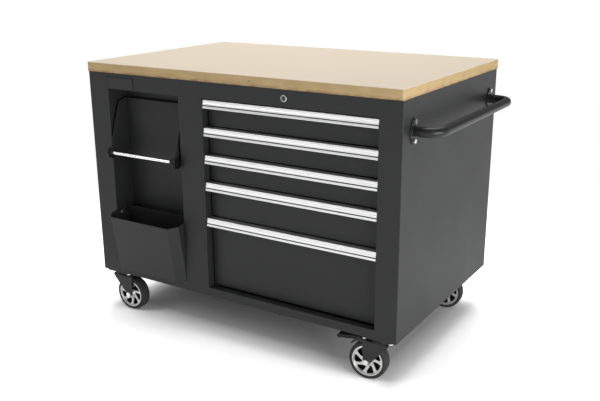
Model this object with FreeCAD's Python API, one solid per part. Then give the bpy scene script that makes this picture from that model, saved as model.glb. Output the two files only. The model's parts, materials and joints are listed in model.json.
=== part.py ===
import FreeCAD, Part
import math
import os

# Mobile workbench: a wide sheet-steel cabinet on four swivel casters under a thick
# laminated worktop. The right bay holds five drawers on telescopic runners, each
# with a full-width extruded grip. The left bay has a tall open niche with a paper
# roll holder and a tilt-out bin. A bent tube on the right side is the push handle.
#
# Working frame, in millimetres: x runs right from the worktop's left end, y runs
# back from the worktop's front edge, z runs up from the floor. The finished pieces
# are moved so that the origin is under the middle of the whole bench.

V = FreeCAD.Vector

# Worktop and cabinet
WORKTOP_WIDTH = 1200.0
WORKTOP_DEPTH = 773.0
WORKTOP_THICK = 31.5
WORKTOP_CORNER_R = 6.0
WORKTOP_EDGE_R = 1.5
CABINET_HEIGHT = 733.0
CASTER_HEIGHT = 150.0
SIDE_OVERHANG = 1.5
FRONT_OVERHANG = 4.0
BACK_OVERHANG = 10.0
SHEET = 1.5
FRONT_SHEET = 2.0
BASE_SHEET = 2.0
BEND_R = 1.9

# Front openings, as distances from the worktop's left end and from its top face
SEAM_X = 488.5
SEAM_GAP = 0.5
NICHE_LEFT = 87.5
NICHE_RIGHT = 399.0
NICHE_TOP = 86.5
NICHE_BOTTOM = 731.0
NICHE_BACK_Y = 90.0
BAY_LEFT = 495.0
BAY_RIGHT = 1125.0
BAY_TOP = 86.0
BAY_BOTTOM = 735.0
BAY_RETURN = 24.0

# Drawers, from the top one down
DRAWER_PITCHES = (91.0, 91.0, 91.5, 122.5, 249.0)
DRAWER_TOP_GAP = 4.0
DRAWER_GAP = 3.5
DRAWER_SIDE_GAP = 3.0
DRAWER_FACE_Y = 34.0
DRAWER_FRONT_DEPTH = 14.0
DRAWER_DEPTH = 650.0
DRAWER_SHEET = 1.2
DRAWER_EDGE_R = 1.2
TRAY_TOP_DROP = 14.0
TRAY_FLOOR_RISE = 5.0
TRAY_LIP = 7.0

# Telescopic runners, one on each side of each drawer
RUNNER_WALL_GAP = 1.5
RUNNER_HEIGHT = 45.0
RUNNER_SHEET = 1.2
RUNNER_LENGTH = 630.0
RUNNER_START_Y = 50.0
RUNNER_SPACE = 13.0
RUNNER_RISE = 8.0

# Extruded grip: height, depth and wall
GRIP_HEIGHT = 27.5
GRIP_WALL = 2.4
GRIP_TOP_WALL = 3.2

# Badge plate and lock
BADGE_LEFT = 87.0
BADGE_WIDTH = 116.0
BADGE_TOP = 47.0
BADGE_HEIGHT = 37.0
BADGE_THICK = 1.5
BADGE_CORNER_R = 2.0
LOCK_X = 809.0
LOCK_DROP = 59.0
LOCK_RING_R = 10.5
LOCK_BODY_R = 9.3
LOCK_CORE_R = 8.0
LOCK_PROUD = 2.5
LOCK_BODY_LENGTH = 22.0
LOCK_CAM_REACH = 22.0
LOCK_CAM_THICK = 2.5

# Push handle on the right side
HANDLE_TUBE_R = 15.0
HANDLE_TUBE_WALL = 2.0
HANDLE_REACH = 75.7
HANDLE_DROP = 127.8
HANDLE_FRONT_Y = 72.0
HANDLE_REAR_Y = 698.0
HANDLE_BEND_R = 47.0
FLANGE_THICK = 3.5
FLANGE_MIDDLE_R = 27.0
FLANGE_END_R = 10.0
FLANGE_BOLT_SPACING = 57.0

# Paper roll holder
ROD_Y = -8.0
ROD_DROP = 308.5
ROD_R = 6.0
ARM_SHEET = 2.0
ARM_LEFT_X = 98.0
ARM_RIGHT_X = 388.5
BRACKET_Y = 73.0
BRACKET_TOP_DROP = 126.0
BRACKET_BOTTOM_DROP = 335.0
BRACKET_FOLD = 10.0
ARM_SHOULDER = (38.0, 135.0)
ARM_NOSE_R = 11.0
SPACER_R = 8.0
KNOB_R = 20.5
KNOB_THICK = 9.0
KNOB_HUB_R = 9.5
KNOB_HUB_PROUD = 2.0
KNOB_LOBES = 8
KNOB_SCALLOP_R = 7.0

# Tilt-out bin, drawn upright and then tipped forward about its pivot
BIN_TILT = 9.0
BIN_PIVOT_Y = 30.0
BIN_PIVOT_DROP = 716.0
BIN_FRONT_Y = -23.4
BIN_CORNER_Y = 4.8
BIN_BACK_Y = 82.0
BIN_SIDE_CLEAR = 1.2
BIN_BEVEL = 25.0
BIN_BEND_R = 3.0
BIN_TOP_DROP = 520.0
BIN_BOTTOM_DROP = 725.7
BIN_STOP_Y = 55.2
BIN_STOP_DROP = 537.7
SHOULDER_R = 4.0
SHOULDER_HEAD_R = 6.5

# Casters: place of each swivel axis and how each one stands
CASTER_INSET = 68.0
FRONT_CASTER_Y = 41.0
REAR_CASTER_Y = 664.0
CASTERS = (
    ("front_left", CASTER_INSET, FRONT_CASTER_Y, 1.0, 0.8, 246.0, False),
    ("front_right", WORKTOP_WIDTH - CASTER_INSET, FRONT_CASTER_Y, -1.0, 4.5, 283.5, True),
    ("rear_left", CASTER_INSET, REAR_CASTER_Y, 1.0, -2.0, 262.0, False),
    ("rear_right", WORKTOP_WIDTH - CASTER_INSET, REAR_CASTER_Y, -1.0, 6.9, 270.0, True),
)
TRAIL = 38.0
WHEEL_R = 62.5
TYRE_WIDTH = 40.0
RIM_R = 50.5
RIM_INNER_R = 45.0
RIM_WIDTH = 37.0
WEB_WIDTH = 29.0
HUB_R = 17.0
HUB_WIDTH = 43.6
AXLE_R = 6.0
RUNNING_CLEARANCE = 0.05
SPOKES = 7
HOLE_OUTER_R = 43.8
HOLE_TIP_R = 19.0
HOLE_HALF_ANGLE = 18.0
HOLE_CORNER_R = 5.5
HOLE_SWEEP = 20.0
HOLE_MIDDLE_R = 29.5
HOLE_MIDDLE_LEAD = 0.40
HOLE_MIDDLE_TRAIL = -0.17
CHANNEL_HALF = 60.0
CHANNEL_RISE = 22.0
CHANNEL_WALL = 2.0
PLATE_LENGTH = 104.0
PLATE_DEPTH = 74.0
PLATE_THICK = 3.0
PLATE_BOLT_X = 88.0
PLATE_BOLT_Y = 52.0
PLATE_BOLT_R = 4.0
KINGPIN_R = 6.0
UPPER_RACE_R = 27.0
LOWER_RACE_R = 31.0
RACE_GAP = 0.3
CROWN_TOP = 134.0
FORK_SHEET = 3.0
FORK_INNER = 22.3
FORK_FRONT = -33.0
FORK_BACK = 54.0
FORK_NOSE_R = 11.0
FORK_BEND_R = 6.0
PEDAL_PIN_R = 3.0
PEDAL_PIN_U = 64.0
PEDAL_PIN_Z = 133.0
PEDAL_TIP_U = 141.0

# Fasteners
BOLT_HEAD_R = 7.0
BOLT_HEAD_H = 5.5
SCREW_R = 2.5
SCREW_HEAD_R = 5.0
SCREW_DEPTH = 20.0

# Heights that follow from the driving dimensions
CABINET_TOP = CASTER_HEIGHT + CABINET_HEIGHT
BENCH_TOP = CABINET_TOP + WORKTOP_THICK
CABINET_LEFT = SIDE_OVERHANG
CABINET_RIGHT = WORKTOP_WIDTH - SIDE_OVERHANG
CABINET_FRONT = FRONT_OVERHANG
CABINET_BACK = WORKTOP_DEPTH - BACK_OVERHANG
FACE_BACK = CABINET_FRONT + FRONT_SHEET
INNER_LEFT = CABINET_LEFT + SHEET
INNER_RIGHT = CABINET_RIGHT - SHEET
INNER_BACK = CABINET_BACK - SHEET
BASE_TOP = CASTER_HEIGHT + BASE_SHEET
COVER_BOTTOM = CABINET_TOP - SHEET
RUNNER_WALL_LEFT = BAY_LEFT - RUNNER_WALL_GAP
RUNNER_WALL_RIGHT = BAY_RIGHT + RUNNER_WALL_GAP
HANDLE_X = CABINET_RIGHT + HANDLE_REACH
FORK_OUTER = FORK_INNER + FORK_SHEET


def height(drop):
    """Turn a distance below the worktop's top face into a height above the floor."""
    return BENCH_TOP - drop


def block(x0, y0, z0, x1, y1, z1):
    return Part.makeBox(x1 - x0, y1 - y0, z1 - z0, V(x0, y0, z0))


def rod(start, direction, radius, length):
    return Part.makeCylinder(radius, length, start, direction)


def prism(points, direction):
    """Extrude a closed straight-sided outline."""
    wire = Part.makePolygon(points + [points[0]])
    return Part.Face(wire).extrude(direction)


def outline(edges, direction):
    """Extrude an outline made of joined straight and curved edges."""
    return Part.Face(Part.Wire(edges)).extrude(direction)


def line(a, b):
    return Part.LineSegment(a, b).toShape()


def arc(a, middle, b):
    return Part.Arc(a, middle, b).toShape()


def fuse(pieces):
    joined = pieces[0].multiFuse(pieces[1:]) if len(pieces) > 1 else pieces[0]
    return joined.removeSplitter()


def edges_along(shape, direction, near):
    """Edges that run along a direction and lie where the test says."""
    found = []
    for edge in shape.Edges:
        if len(edge.Vertexes) == 2:
            run = edge.Vertexes[1].Point.sub(edge.Vertexes[0].Point)
            if run.Length > 1.0 and run.normalize().cross(direction).Length < 1e-6:
                if near(edge.CenterOfMass):
                    found.append(edge)
    return found


def hexagon(start, direction, radius, length):
    """A hexagon head or nut, with its corners on the radius."""
    side = direction.cross(V(0, 0, 1))
    if side.Length < 0.5:
        side = V(1, 0, 0)
    other = direction.cross(side)
    points = []
    for step in range(6):
        angle = math.radians(60.0 * step)
        points.append(start + side * (radius * math.cos(angle)) + other * (radius * math.sin(angle)))
    return prism(points, direction * length)


def bolt(seat, direction, grip, shank_r):
    """Head on the seat, shank through the stack along the direction, nut behind it."""
    head = hexagon(seat - direction * BOLT_HEAD_H, direction, BOLT_HEAD_R, BOLT_HEAD_H)
    shank = rod(seat - direction, direction, shank_r, grip + BOLT_HEAD_H + 3.0)
    nut = hexagon(seat + direction * grip, direction, BOLT_HEAD_R, BOLT_HEAD_H)
    return fuse([head, shank, nut])


# Worktop: a laminated slab with rounded upright corners and softened edges
def worktop_screw_places():
    places = []
    for x in (60.0, 440.0, 820.0, 1165.0):
        for y in (60.0, 700.0):
            places.append((x, y))
    return places


def make_worktop():
    slab = block(0, 0, CABINET_TOP, WORKTOP_WIDTH, WORKTOP_DEPTH, BENCH_TOP)
    corners = edges_along(slab, V(0, 0, 1), lambda c: True)
    slab = slab.makeFillet(WORKTOP_CORNER_R, corners)
    rims = [e for e in slab.Edges if abs(e.CenterOfMass.z - BENCH_TOP) < 0.01]
    slab = slab.makeChamfer(WORKTOP_EDGE_R, rims)
    for x, y in worktop_screw_places():
        slab = slab.cut(rod(V(x, y, CABINET_TOP), V(0, 0, 1), SCREW_R, SCREW_DEPTH))
    return slab


def make_worktop_screws():
    screws = []
    for x, y in worktop_screw_places():
        shank = rod(V(x, y, COVER_BOTTOM - 1.0), V(0, 0, 1), SCREW_R, SHEET + 1.0 + SCREW_DEPTH - 0.5)
        head = Part.makeCone(2.0, SCREW_HEAD_R, 3.0, V(x, y, COVER_BOTTOM - 3.0), V(0, 0, 1))
        screws.append(fuse([shank, head]))
    return Part.Compound(screws)


# Cabinet panels
def make_side_panel(outer_x, inward):
    """A side sheet with a short return fold behind the front and along the back."""
    inner_x = outer_x + inward * SHEET
    fold_x = inner_x + inward * 15.0
    x0, x1 = sorted((outer_x, inner_x))
    f0, f1 = sorted((inner_x, fold_x))
    sheet = block(x0, FACE_BACK, CASTER_HEIGHT, x1, CABINET_BACK, CABINET_TOP)
    front_fold = block(f0, FACE_BACK, BASE_TOP, f1, FACE_BACK + SHEET, COVER_BOTTOM)
    back_fold = block(f0, INNER_BACK - SHEET, BASE_TOP, f1, INNER_BACK, COVER_BOTTOM)
    return fuse([sheet, front_fold, back_fold])


def make_right_side_panel():
    panel = make_side_panel(CABINET_RIGHT, -1.0)
    for y, z in handle_bolt_places():
        panel = panel.cut(rod(V(INNER_RIGHT - 1.0, y, z), V(1, 0, 0), 4.2, SHEET + 2.0))
    return panel


def make_back_panel():
    return block(INNER_LEFT, INNER_BACK, CASTER_HEIGHT, INNER_RIGHT, CABINET_BACK, CABINET_TOP)


def plate_bolt_places():
    places = []
    for name, x, y, side, turn, phase, braked in CASTERS:
        for dx in (-0.5, 0.5):
            for dy in (-0.5, 0.5):
                places.append((x + dx * PLATE_BOLT_X, y + dy * PLATE_BOLT_Y))
    return places


def make_base_panel():
    """The floor of the cabinet, with the caster bolt holes."""
    sheet = block(INNER_LEFT, FACE_BACK, CASTER_HEIGHT, INNER_RIGHT, INNER_BACK, BASE_TOP)
    for x, y in plate_bolt_places():
        sheet = sheet.cut(rod(V(x, y, CASTER_HEIGHT - 1.0), V(0, 0, 1), PLATE_BOLT_R, 5.0))
    return sheet


def make_caster_channels():
    """Two upturned channels that spread the load of the casters over the base."""
    wall, half = CHANNEL_WALL, CHANNEL_HALF
    top = BASE_TOP + CHANNEL_RISE
    channels = []
    for middle in (CASTER_INSET + 4.0, WORKTOP_WIDTH - CASTER_INSET - 4.0):
        outer = block(middle - half, 10.0, BASE_TOP, middle + half, INNER_BACK - 8.0, top)
        inner = block(middle - half + wall, 0.0, BASE_TOP - 1.0, middle + half - wall,
                      WORKTOP_DEPTH, top - wall)
        channels.append(outer.cut(inner))
    return Part.Compound(channels)


def make_top_cover():
    sheet = block(INNER_LEFT, FACE_BACK, COVER_BOTTOM, INNER_RIGHT, INNER_BACK, CABINET_TOP)
    for x, y in worktop_screw_places():
        sheet = sheet.cut(rod(V(x, y, COVER_BOTTOM - 1.0), V(0, 0, 1), SCREW_R, 5.0))
    return sheet


def make_upright(face_x, outward, floor):
    """An upright inner wall that carries one side's runners, with a fold at each end."""
    x0, x1 = sorted((face_x, face_x + outward * SHEET))
    f0, f1 = sorted((face_x + outward * SHEET, face_x + outward * 14.0))
    wall = block(x0, FACE_BACK + SHEET, floor, x1, INNER_BACK, COVER_BOTTOM)
    foot = block(f0, 40.0, floor, f1, INNER_BACK - 40.0, floor + SHEET)
    head = block(f0, 40.0, COVER_BOTTOM - SHEET, f1, INNER_BACK - 40.0, COVER_BOTTOM)
    return fuse([wall, foot, head])


# Front sheets
def soften_front_corner(sheet, corner_x):
    """Round the outer upright front edge, as the bent sheet has it."""
    edges = edges_along(sheet, V(0, 0, 1),
                        lambda c: abs(c.x - corner_x) < 0.01 and abs(c.y - CABINET_FRONT) < 0.01)
    return sheet.makeFillet(BEND_R, edges)


def make_left_fascia():
    """The left bay's front sheet with the tall niche opening."""
    right = SEAM_X - SEAM_GAP / 2.0
    sheet = block(CABINET_LEFT, CABINET_FRONT, CASTER_HEIGHT, right, FACE_BACK, CABINET_TOP)
    sheet = sheet.cut(block(NICHE_LEFT, 0.0, height(NICHE_BOTTOM), NICHE_RIGHT, 10.0, height(NICHE_TOP)))
    return soften_front_corner(sheet, CABINET_LEFT)


def make_drawer_bay_frame():
    """The drawer bay's front sheet with a folded return all round its opening."""
    left = SEAM_X + SEAM_GAP / 2.0
    low = height(BAY_BOTTOM)
    high = height(BAY_TOP)
    sheet = block(left, CABINET_FRONT, CASTER_HEIGHT, CABINET_RIGHT, FACE_BACK, CABINET_TOP)
    sheet = soften_front_corner(sheet, CABINET_RIGHT)
    tunnel = block(BAY_LEFT - SHEET, CABINET_FRONT, low - SHEET, BAY_RIGHT + SHEET,
                   FACE_BACK + BAY_RETURN, high + SHEET)
    frame = fuse([sheet, tunnel])
    frame = frame.cut(block(BAY_LEFT, 0.0, low, BAY_RIGHT, 60.0, high))
    hole = rod(V(LOCK_X, 0.0, height(LOCK_DROP)), V(0, 1, 0), LOCK_BODY_R, 20.0)
    return frame.cut(hole)


# Niche: an open-fronted tray of sheet behind the left fascia
def tipped(y, drop, tilt):
    """Where a point of the upright bin goes when the bin tips forward."""
    angle = math.radians(tilt)
    dy = y - BIN_PIVOT_Y
    dz = BIN_PIVOT_DROP - drop
    new_y = BIN_PIVOT_Y + dy * math.cos(angle) - dz * math.sin(angle)
    new_drop = BIN_PIVOT_DROP - (dy * math.sin(angle) + dz * math.cos(angle))
    return new_y, new_drop


def stop_slot(x0, length):
    """The curved slot that the bin's stop screw runs in."""
    clear = SHOULDER_R + 0.3
    reach = math.hypot(BIN_STOP_Y - BIN_PIVOT_Y, BIN_PIVOT_DROP - BIN_STOP_DROP)
    ends = []
    for tilt in (BIN_TILT, BIN_TILT / 2.0, 0.0):
        y, drop = tipped(BIN_STOP_Y, BIN_STOP_DROP, tilt)
        lean = math.atan2(y - BIN_PIVOT_Y, BIN_PIVOT_DROP - drop)
        ends.append(lean)

    def spot(lean, radius):
        return V(x0, BIN_PIVOT_Y + radius * math.sin(lean), height(BIN_PIVOT_DROP) + radius * math.cos(lean))

    open_lean, middle, shut_lean = ends
    upper = arc(spot(open_lean, reach + clear), spot(middle, reach + clear), spot(shut_lean, reach + clear))
    lower = arc(spot(shut_lean, reach - clear), spot(middle, reach - clear), spot(open_lean, reach - clear))
    beyond = clear / reach
    shut_cap = arc(spot(shut_lean, reach + clear), spot(shut_lean + beyond, reach),
                   spot(shut_lean, reach - clear))
    open_cap = arc(spot(open_lean, reach - clear), spot(open_lean - beyond, reach),
                   spot(open_lean, reach + clear))
    return outline([upper, shut_cap, lower, open_cap], V(length, 0, 0))


def make_niche_liner():
    low = height(NICHE_BOTTOM)
    high = height(NICHE_TOP)
    back = NICHE_BACK_Y + SHEET
    outer = block(NICHE_LEFT - SHEET, FACE_BACK, low - SHEET, NICHE_RIGHT + SHEET, back, high + SHEET)
    liner = outer.cut(block(NICHE_LEFT, 0.0, low, NICHE_RIGHT, NICHE_BACK_Y, high))
    for x0 in (NICHE_LEFT - 3.0, NICHE_RIGHT - 2.0):
        liner = liner.cut(stop_slot(x0, 5.0))
        pivot = V(x0, BIN_PIVOT_Y, height(BIN_PIVOT_DROP))
        liner = liner.cut(rod(pivot, V(1, 0, 0), SHOULDER_R + RUNNING_CLEARANCE, 5.0))
    return liner


# Badge plate, bare
def make_badge_plate():
    top = height(BADGE_TOP)
    plate = block(BADGE_LEFT, CABINET_FRONT - BADGE_THICK, top - BADGE_HEIGHT,
                  BADGE_LEFT + BADGE_WIDTH, CABINET_FRONT, top)
    corners = edges_along(plate, V(0, 1, 0), lambda c: True)
    return plate.makeFillet(BADGE_CORNER_R, corners)


# Lock over the drawers
def make_lock_housing():
    start = V(LOCK_X, CABINET_FRONT - LOCK_PROUD, height(LOCK_DROP))
    back = V(0, 1, 0)
    collar = rod(start, back, LOCK_RING_R, LOCK_PROUD)
    rim = [e for e in collar.Edges if abs(e.CenterOfMass.y - start.y) < 0.01]
    collar = collar.makeChamfer(0.8, rim)
    barrel = rod(start, back, LOCK_BODY_R, LOCK_PROUD + LOCK_BODY_LENGTH)
    nut = hexagon(start + back * (LOCK_PROUD + FRONT_SHEET), back, 13.0, 5.0)
    bore = rod(start, back, LOCK_CORE_R + RUNNING_CLEARANCE, LOCK_PROUD + LOCK_BODY_LENGTH)
    return fuse([collar, barrel, nut]).cut(bore)


def make_lock_core():
    """The turning core with its key slot, and the cam that it carries behind."""
    start = V(LOCK_X, CABINET_FRONT - LOCK_PROUD + 0.4, height(LOCK_DROP))
    length = LOCK_PROUD + LOCK_BODY_LENGTH + 1.0
    core = rod(start, V(0, 1, 0), LOCK_CORE_R, length)
    slot = block(LOCK_X - 0.9, start.y - 1.0, start.z - 4.5, LOCK_X + 0.9, start.y + 6.0, start.z + 4.5)
    cam_y = start.y + length - 0.2
    cam = rod(V(LOCK_X, cam_y, start.z), V(0, 1, 0), LOCK_CORE_R, LOCK_CAM_THICK)
    finger = block(LOCK_X - 6.0, cam_y, start.z - LOCK_CAM_REACH, LOCK_X + 6.0,
                   cam_y + LOCK_CAM_THICK, start.z)
    return fuse([core, cam, finger]).cut(slot)


# Push handle
def handle_bolt_places():
    places = []
    for y in (HANDLE_FRONT_Y, HANDLE_REAR_Y):
        for side in (-0.5, 0.5):
            places.append((y, height(HANDLE_DROP) + side * FLANGE_BOLT_SPACING))
    return places


def flange_face(y):
    """A flat two-bolt plate: a round middle drawn out to a small round at each end."""
    z = height(HANDLE_DROP)
    reach = FLANGE_BOLT_SPACING / 2.0
    lean = math.asin((FLANGE_MIDDLE_R - FLANGE_END_R) / reach)
    x = CABINET_RIGHT

    def spot(centre, radius, angle):
        return V(x, y + radius * math.cos(angle), z + centre + radius * math.sin(angle))

    up = lean
    edges = [
        arc(spot(0, FLANGE_MIDDLE_R, -up), spot(0, FLANGE_MIDDLE_R, 0), spot(0, FLANGE_MIDDLE_R, up)),
        line(spot(0, FLANGE_MIDDLE_R, up), spot(reach, FLANGE_END_R, up)),
        arc(spot(reach, FLANGE_END_R, up), spot(reach, FLANGE_END_R, math.pi / 2),
            spot(reach, FLANGE_END_R, math.pi - up)),
        line(spot(reach, FLANGE_END_R, math.pi - up), spot(0, FLANGE_MIDDLE_R, math.pi - up)),
        arc(spot(0, FLANGE_MIDDLE_R, math.pi - up), spot(0, FLANGE_MIDDLE_R, math.pi),
            spot(0, FLANGE_MIDDLE_R, math.pi + up)),
        line(spot(0, FLANGE_MIDDLE_R, math.pi + up), spot(-reach, FLANGE_END_R, math.pi + up)),
        arc(spot(-reach, FLANGE_END_R, math.pi + up), spot(-reach, FLANGE_END_R, -math.pi / 2),
            spot(-reach, FLANGE_END_R, -up)),
        line(spot(-reach, FLANGE_END_R, -up), spot(0, FLANGE_MIDDLE_R, -up)),
    ]
    return outline(edges, V(FLANGE_THICK, 0, 0))


def handle_path():
    z = height(HANDLE_DROP)
    x0 = CABINET_RIGHT + FLANGE_THICK / 2.0
    bend = HANDLE_BEND_R
    slack = bend * (1.0 - math.sqrt(0.5))
    front, rear = HANDLE_FRONT_Y, HANDLE_REAR_Y
    edges = [
        line(V(x0, front, z), V(HANDLE_X - bend, front, z)),
        arc(V(HANDLE_X - bend, front, z), V(HANDLE_X - slack, front + slack, z),
            V(HANDLE_X, front + bend, z)),
        line(V(HANDLE_X, front + bend, z), V(HANDLE_X, rear - bend, z)),
        arc(V(HANDLE_X, rear - bend, z), V(HANDLE_X - slack, rear - slack, z), V(HANDLE_X - bend, rear, z)),
        line(V(HANDLE_X - bend, rear, z), V(x0, rear, z)),
    ]
    return Part.Wire(edges), V(x0, front, z)


def make_push_handle():
    """Bent tube welded to a flange at each end."""
    path, start = handle_path()

    def sweep(radius):
        profile = Part.Wire([Part.makeCircle(radius, start, V(1, 0, 0))])
        return path.makePipeShell([profile], True, False)

    tube = sweep(HANDLE_TUBE_R).cut(sweep(HANDLE_TUBE_R - HANDLE_TUBE_WALL))
    handle = fuse([tube, flange_face(HANDLE_FRONT_Y), flange_face(HANDLE_REAR_Y)])
    for y, z in handle_bolt_places():
        handle = handle.cut(rod(V(CABINET_RIGHT - 1.0, y, z), V(1, 0, 0), PLATE_BOLT_R, 8.0))
    return handle


def make_handle_bolts():
    bolts = []
    for y, z in handle_bolt_places():
        seat = V(CABINET_RIGHT + FLANGE_THICK, y, z)
        bolts.append(bolt(seat, V(-1, 0, 0), FLANGE_THICK + SHEET, PLATE_BOLT_R))
    return Part.Compound(bolts)


# Paper roll holder
def tangent_point(centre_y, centre_z, radius, y, z, side):
    """The point where a straight run from (y, z) meets a circle, on the chosen side."""
    dy, dz = y - centre_y, z - centre_z
    reach = math.hypot(dy, dz)
    angle = math.atan2(dz, dy) + side * math.acos(radius / reach)
    return centre_y + radius * math.cos(angle), centre_z + radius * math.sin(angle)


def roll_arm(x0):
    """One side arm: a flat plate that narrows to a round nose about the rod."""
    z = height(ROD_DROP)
    shoulder_y, shoulder_drop = ARM_SHOULDER
    top = (BRACKET_Y, height(BRACKET_TOP_DROP))
    shoulder = (shoulder_y, height(shoulder_drop))
    foot = (BRACKET_Y, height(BRACKET_BOTTOM_DROP))
    upper = tangent_point(ROD_Y, z, ARM_NOSE_R, shoulder[0], shoulder[1], 1.0)
    lower = tangent_point(ROD_Y, z, ARM_NOSE_R, foot[0], foot[1], -1.0)
    start = math.atan2(upper[1] - z, upper[0] - ROD_Y) % (2.0 * math.pi)
    end = math.atan2(lower[1] - z, lower[0] - ROD_Y) % (2.0 * math.pi)
    lean = (start + end) / 2.0
    nose = (ROD_Y + ARM_NOSE_R * math.cos(lean), z + ARM_NOSE_R * math.sin(lean))

    def at(spot):
        return V(x0, spot[0], spot[1])

    edges = [
        line(at(top), at(shoulder)),
        line(at(shoulder), at(upper)),
        arc(at(upper), at(nose), at(lower)),
        line(at(lower), at(foot)),
        line(at(foot), at(top)),
    ]
    plate = outline(edges, V(ARM_SHEET, 0, 0))
    hole = rod(V(x0 - 1.0, ROD_Y, z), V(1, 0, 0), ROD_R + RUNNING_CLEARANCE, ARM_SHEET + 2.0)
    return plate.cut(hole)


def make_roll_bracket():
    """Back plate with a folded top edge, two arms, and spacers to the niche wall."""
    left, right = ARM_LEFT_X, ARM_RIGHT_X
    top = height(BRACKET_TOP_DROP)
    low = height(BRACKET_BOTTOM_DROP)
    pieces = [
        block(left, BRACKET_Y, low, right, BRACKET_Y + ARM_SHEET, top),
        block(left, BRACKET_Y, top - ARM_SHEET, right, BRACKET_Y + BRACKET_FOLD, top),
        roll_arm(left),
        roll_arm(right - ARM_SHEET),
    ]
    gap = NICHE_BACK_Y - BRACKET_Y
    for x in (left + 40.0, right - 40.0):
        for drop in (BRACKET_TOP_DROP + 24.0, BRACKET_BOTTOM_DROP - 24.0):
            pieces.append(rod(V(x, BRACKET_Y, height(drop)), V(0, 1, 0), SPACER_R, gap))
    return fuse(pieces)


def make_roll_rod():
    start = V(ARM_LEFT_X - KNOB_THICK + 1.0, ROD_Y, height(ROD_DROP))
    length = ARM_RIGHT_X - ARM_LEFT_X + 2.0 * KNOB_THICK - 2.0
    return rod(start, V(1, 0, 0), ROD_R, length)


def make_roll_knob(face_x, outward):
    """A lobed hand knob with a round hub, outside one arm."""
    z = height(ROD_DROP)
    base = face_x + outward * 0.3
    direction = V(outward, 0, 0)
    web = KNOB_THICK - KNOB_HUB_PROUD
    disc = rod(V(base, ROD_Y, z), direction, KNOB_R, web)
    rims = [e for e in disc.Edges if abs(e.CenterOfMass.x - base - outward * web) < 0.01]
    disc = disc.makeFillet(2.0, rims)
    reach = KNOB_R + KNOB_SCALLOP_R * 0.55
    for lobe in range(KNOB_LOBES):
        angle = 2.0 * math.pi * (lobe + 0.5) / KNOB_LOBES
        spot = V(base - outward, ROD_Y + reach * math.cos(angle), z + reach * math.sin(angle))
        disc = disc.cut(rod(spot, direction, KNOB_SCALLOP_R, KNOB_THICK + 2.0))
    hub = Part.makeCone(KNOB_HUB_R, KNOB_HUB_R - 1.5, KNOB_HUB_PROUD + 1.0,
                        V(base + outward * (web - 1.0), ROD_Y, z), direction)
    disc = fuse([disc, hub])
    bore = rod(V(base - outward, ROD_Y, z), direction, ROD_R + RUNNING_CLEARANCE, KNOB_THICK - 0.2)
    return disc.cut(bore)


# Tilt-out bin
def tip_forward(shape):
    shape.rotate(V(0, BIN_PIVOT_Y, height(BIN_PIVOT_DROP)), V(1, 0, 0), BIN_TILT)
    return shape


def bin_plan(inset, z):
    """The bin's outline seen from above, drawn in by a sheet thickness for the inside."""
    left = NICHE_LEFT + BIN_SIDE_CLEAR + inset
    right = NICHE_RIGHT - BIN_SIDE_CLEAR - inset
    lean = inset * math.tan(math.pi / 8.0)
    front = BIN_FRONT_Y + inset
    corner = BIN_CORNER_Y + lean
    bevel = BIN_BEVEL + NICHE_LEFT + BIN_SIDE_CLEAR + lean
    mirror = BIN_BEVEL - NICHE_RIGHT + BIN_SIDE_CLEAR + lean
    back = BIN_BACK_Y - inset
    return [V(bevel, front, z), V(-mirror, front, z), V(right, corner, z),
            V(right, back, z), V(left, back, z), V(left, corner, z)]


def make_waste_bin():
    low = height(BIN_BOTTOM_DROP)
    rise = BIN_BOTTOM_DROP - BIN_TOP_DROP
    outer = prism(bin_plan(0.0, low), V(0, 0, rise))
    outer = outer.makeFillet(BIN_BEND_R, edges_along(outer, V(0, 0, 1), lambda c: True))
    inner = prism(bin_plan(SHEET, low + SHEET), V(0, 0, rise))
    inner = inner.makeFillet(BIN_BEND_R - SHEET, edges_along(inner, V(0, 0, 1), lambda c: True))
    shell = outer.cut(inner)
    for x0 in (NICHE_LEFT - 1.0, NICHE_RIGHT - 5.0):
        for y, drop in ((BIN_PIVOT_Y, BIN_PIVOT_DROP), (BIN_STOP_Y, BIN_STOP_DROP)):
            shell = shell.cut(rod(V(x0, y, height(drop)), V(1, 0, 0), SHOULDER_R, 6.0))
    return tip_forward(shell)


def make_bin_screws():
    """Shoulder screws in the bin's sides: two to pivot on and two that stop the tilt."""
    screws = []
    left = NICHE_LEFT + BIN_SIDE_CLEAR + SHEET
    right = NICHE_RIGHT - BIN_SIDE_CLEAR - SHEET
    for y, drop in ((BIN_PIVOT_Y, BIN_PIVOT_DROP), (BIN_STOP_Y, BIN_STOP_DROP)):
        for x, outward in ((left, -1.0), (right, 1.0)):
            head = rod(V(x, y, height(drop)), V(-outward, 0, 0), SHOULDER_HEAD_R, 2.5)
            rim = [e for e in head.Edges if abs(e.CenterOfMass.x - x + outward * 2.5) < 0.01]
            head = head.makeChamfer(1.0, rim)
            shank = rod(V(x - outward, y, height(drop)), V(outward, 0, 0), SHOULDER_R, 8.0)
            screws.append(tip_forward(fuse([head, shank])))
    return Part.Compound(screws)


# Drawers
def drawer_top(index):
    """Height of one drawer front's top edge."""
    return height(BAY_TOP + DRAWER_TOP_GAP + sum(DRAWER_PITCHES[:index]))


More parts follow.
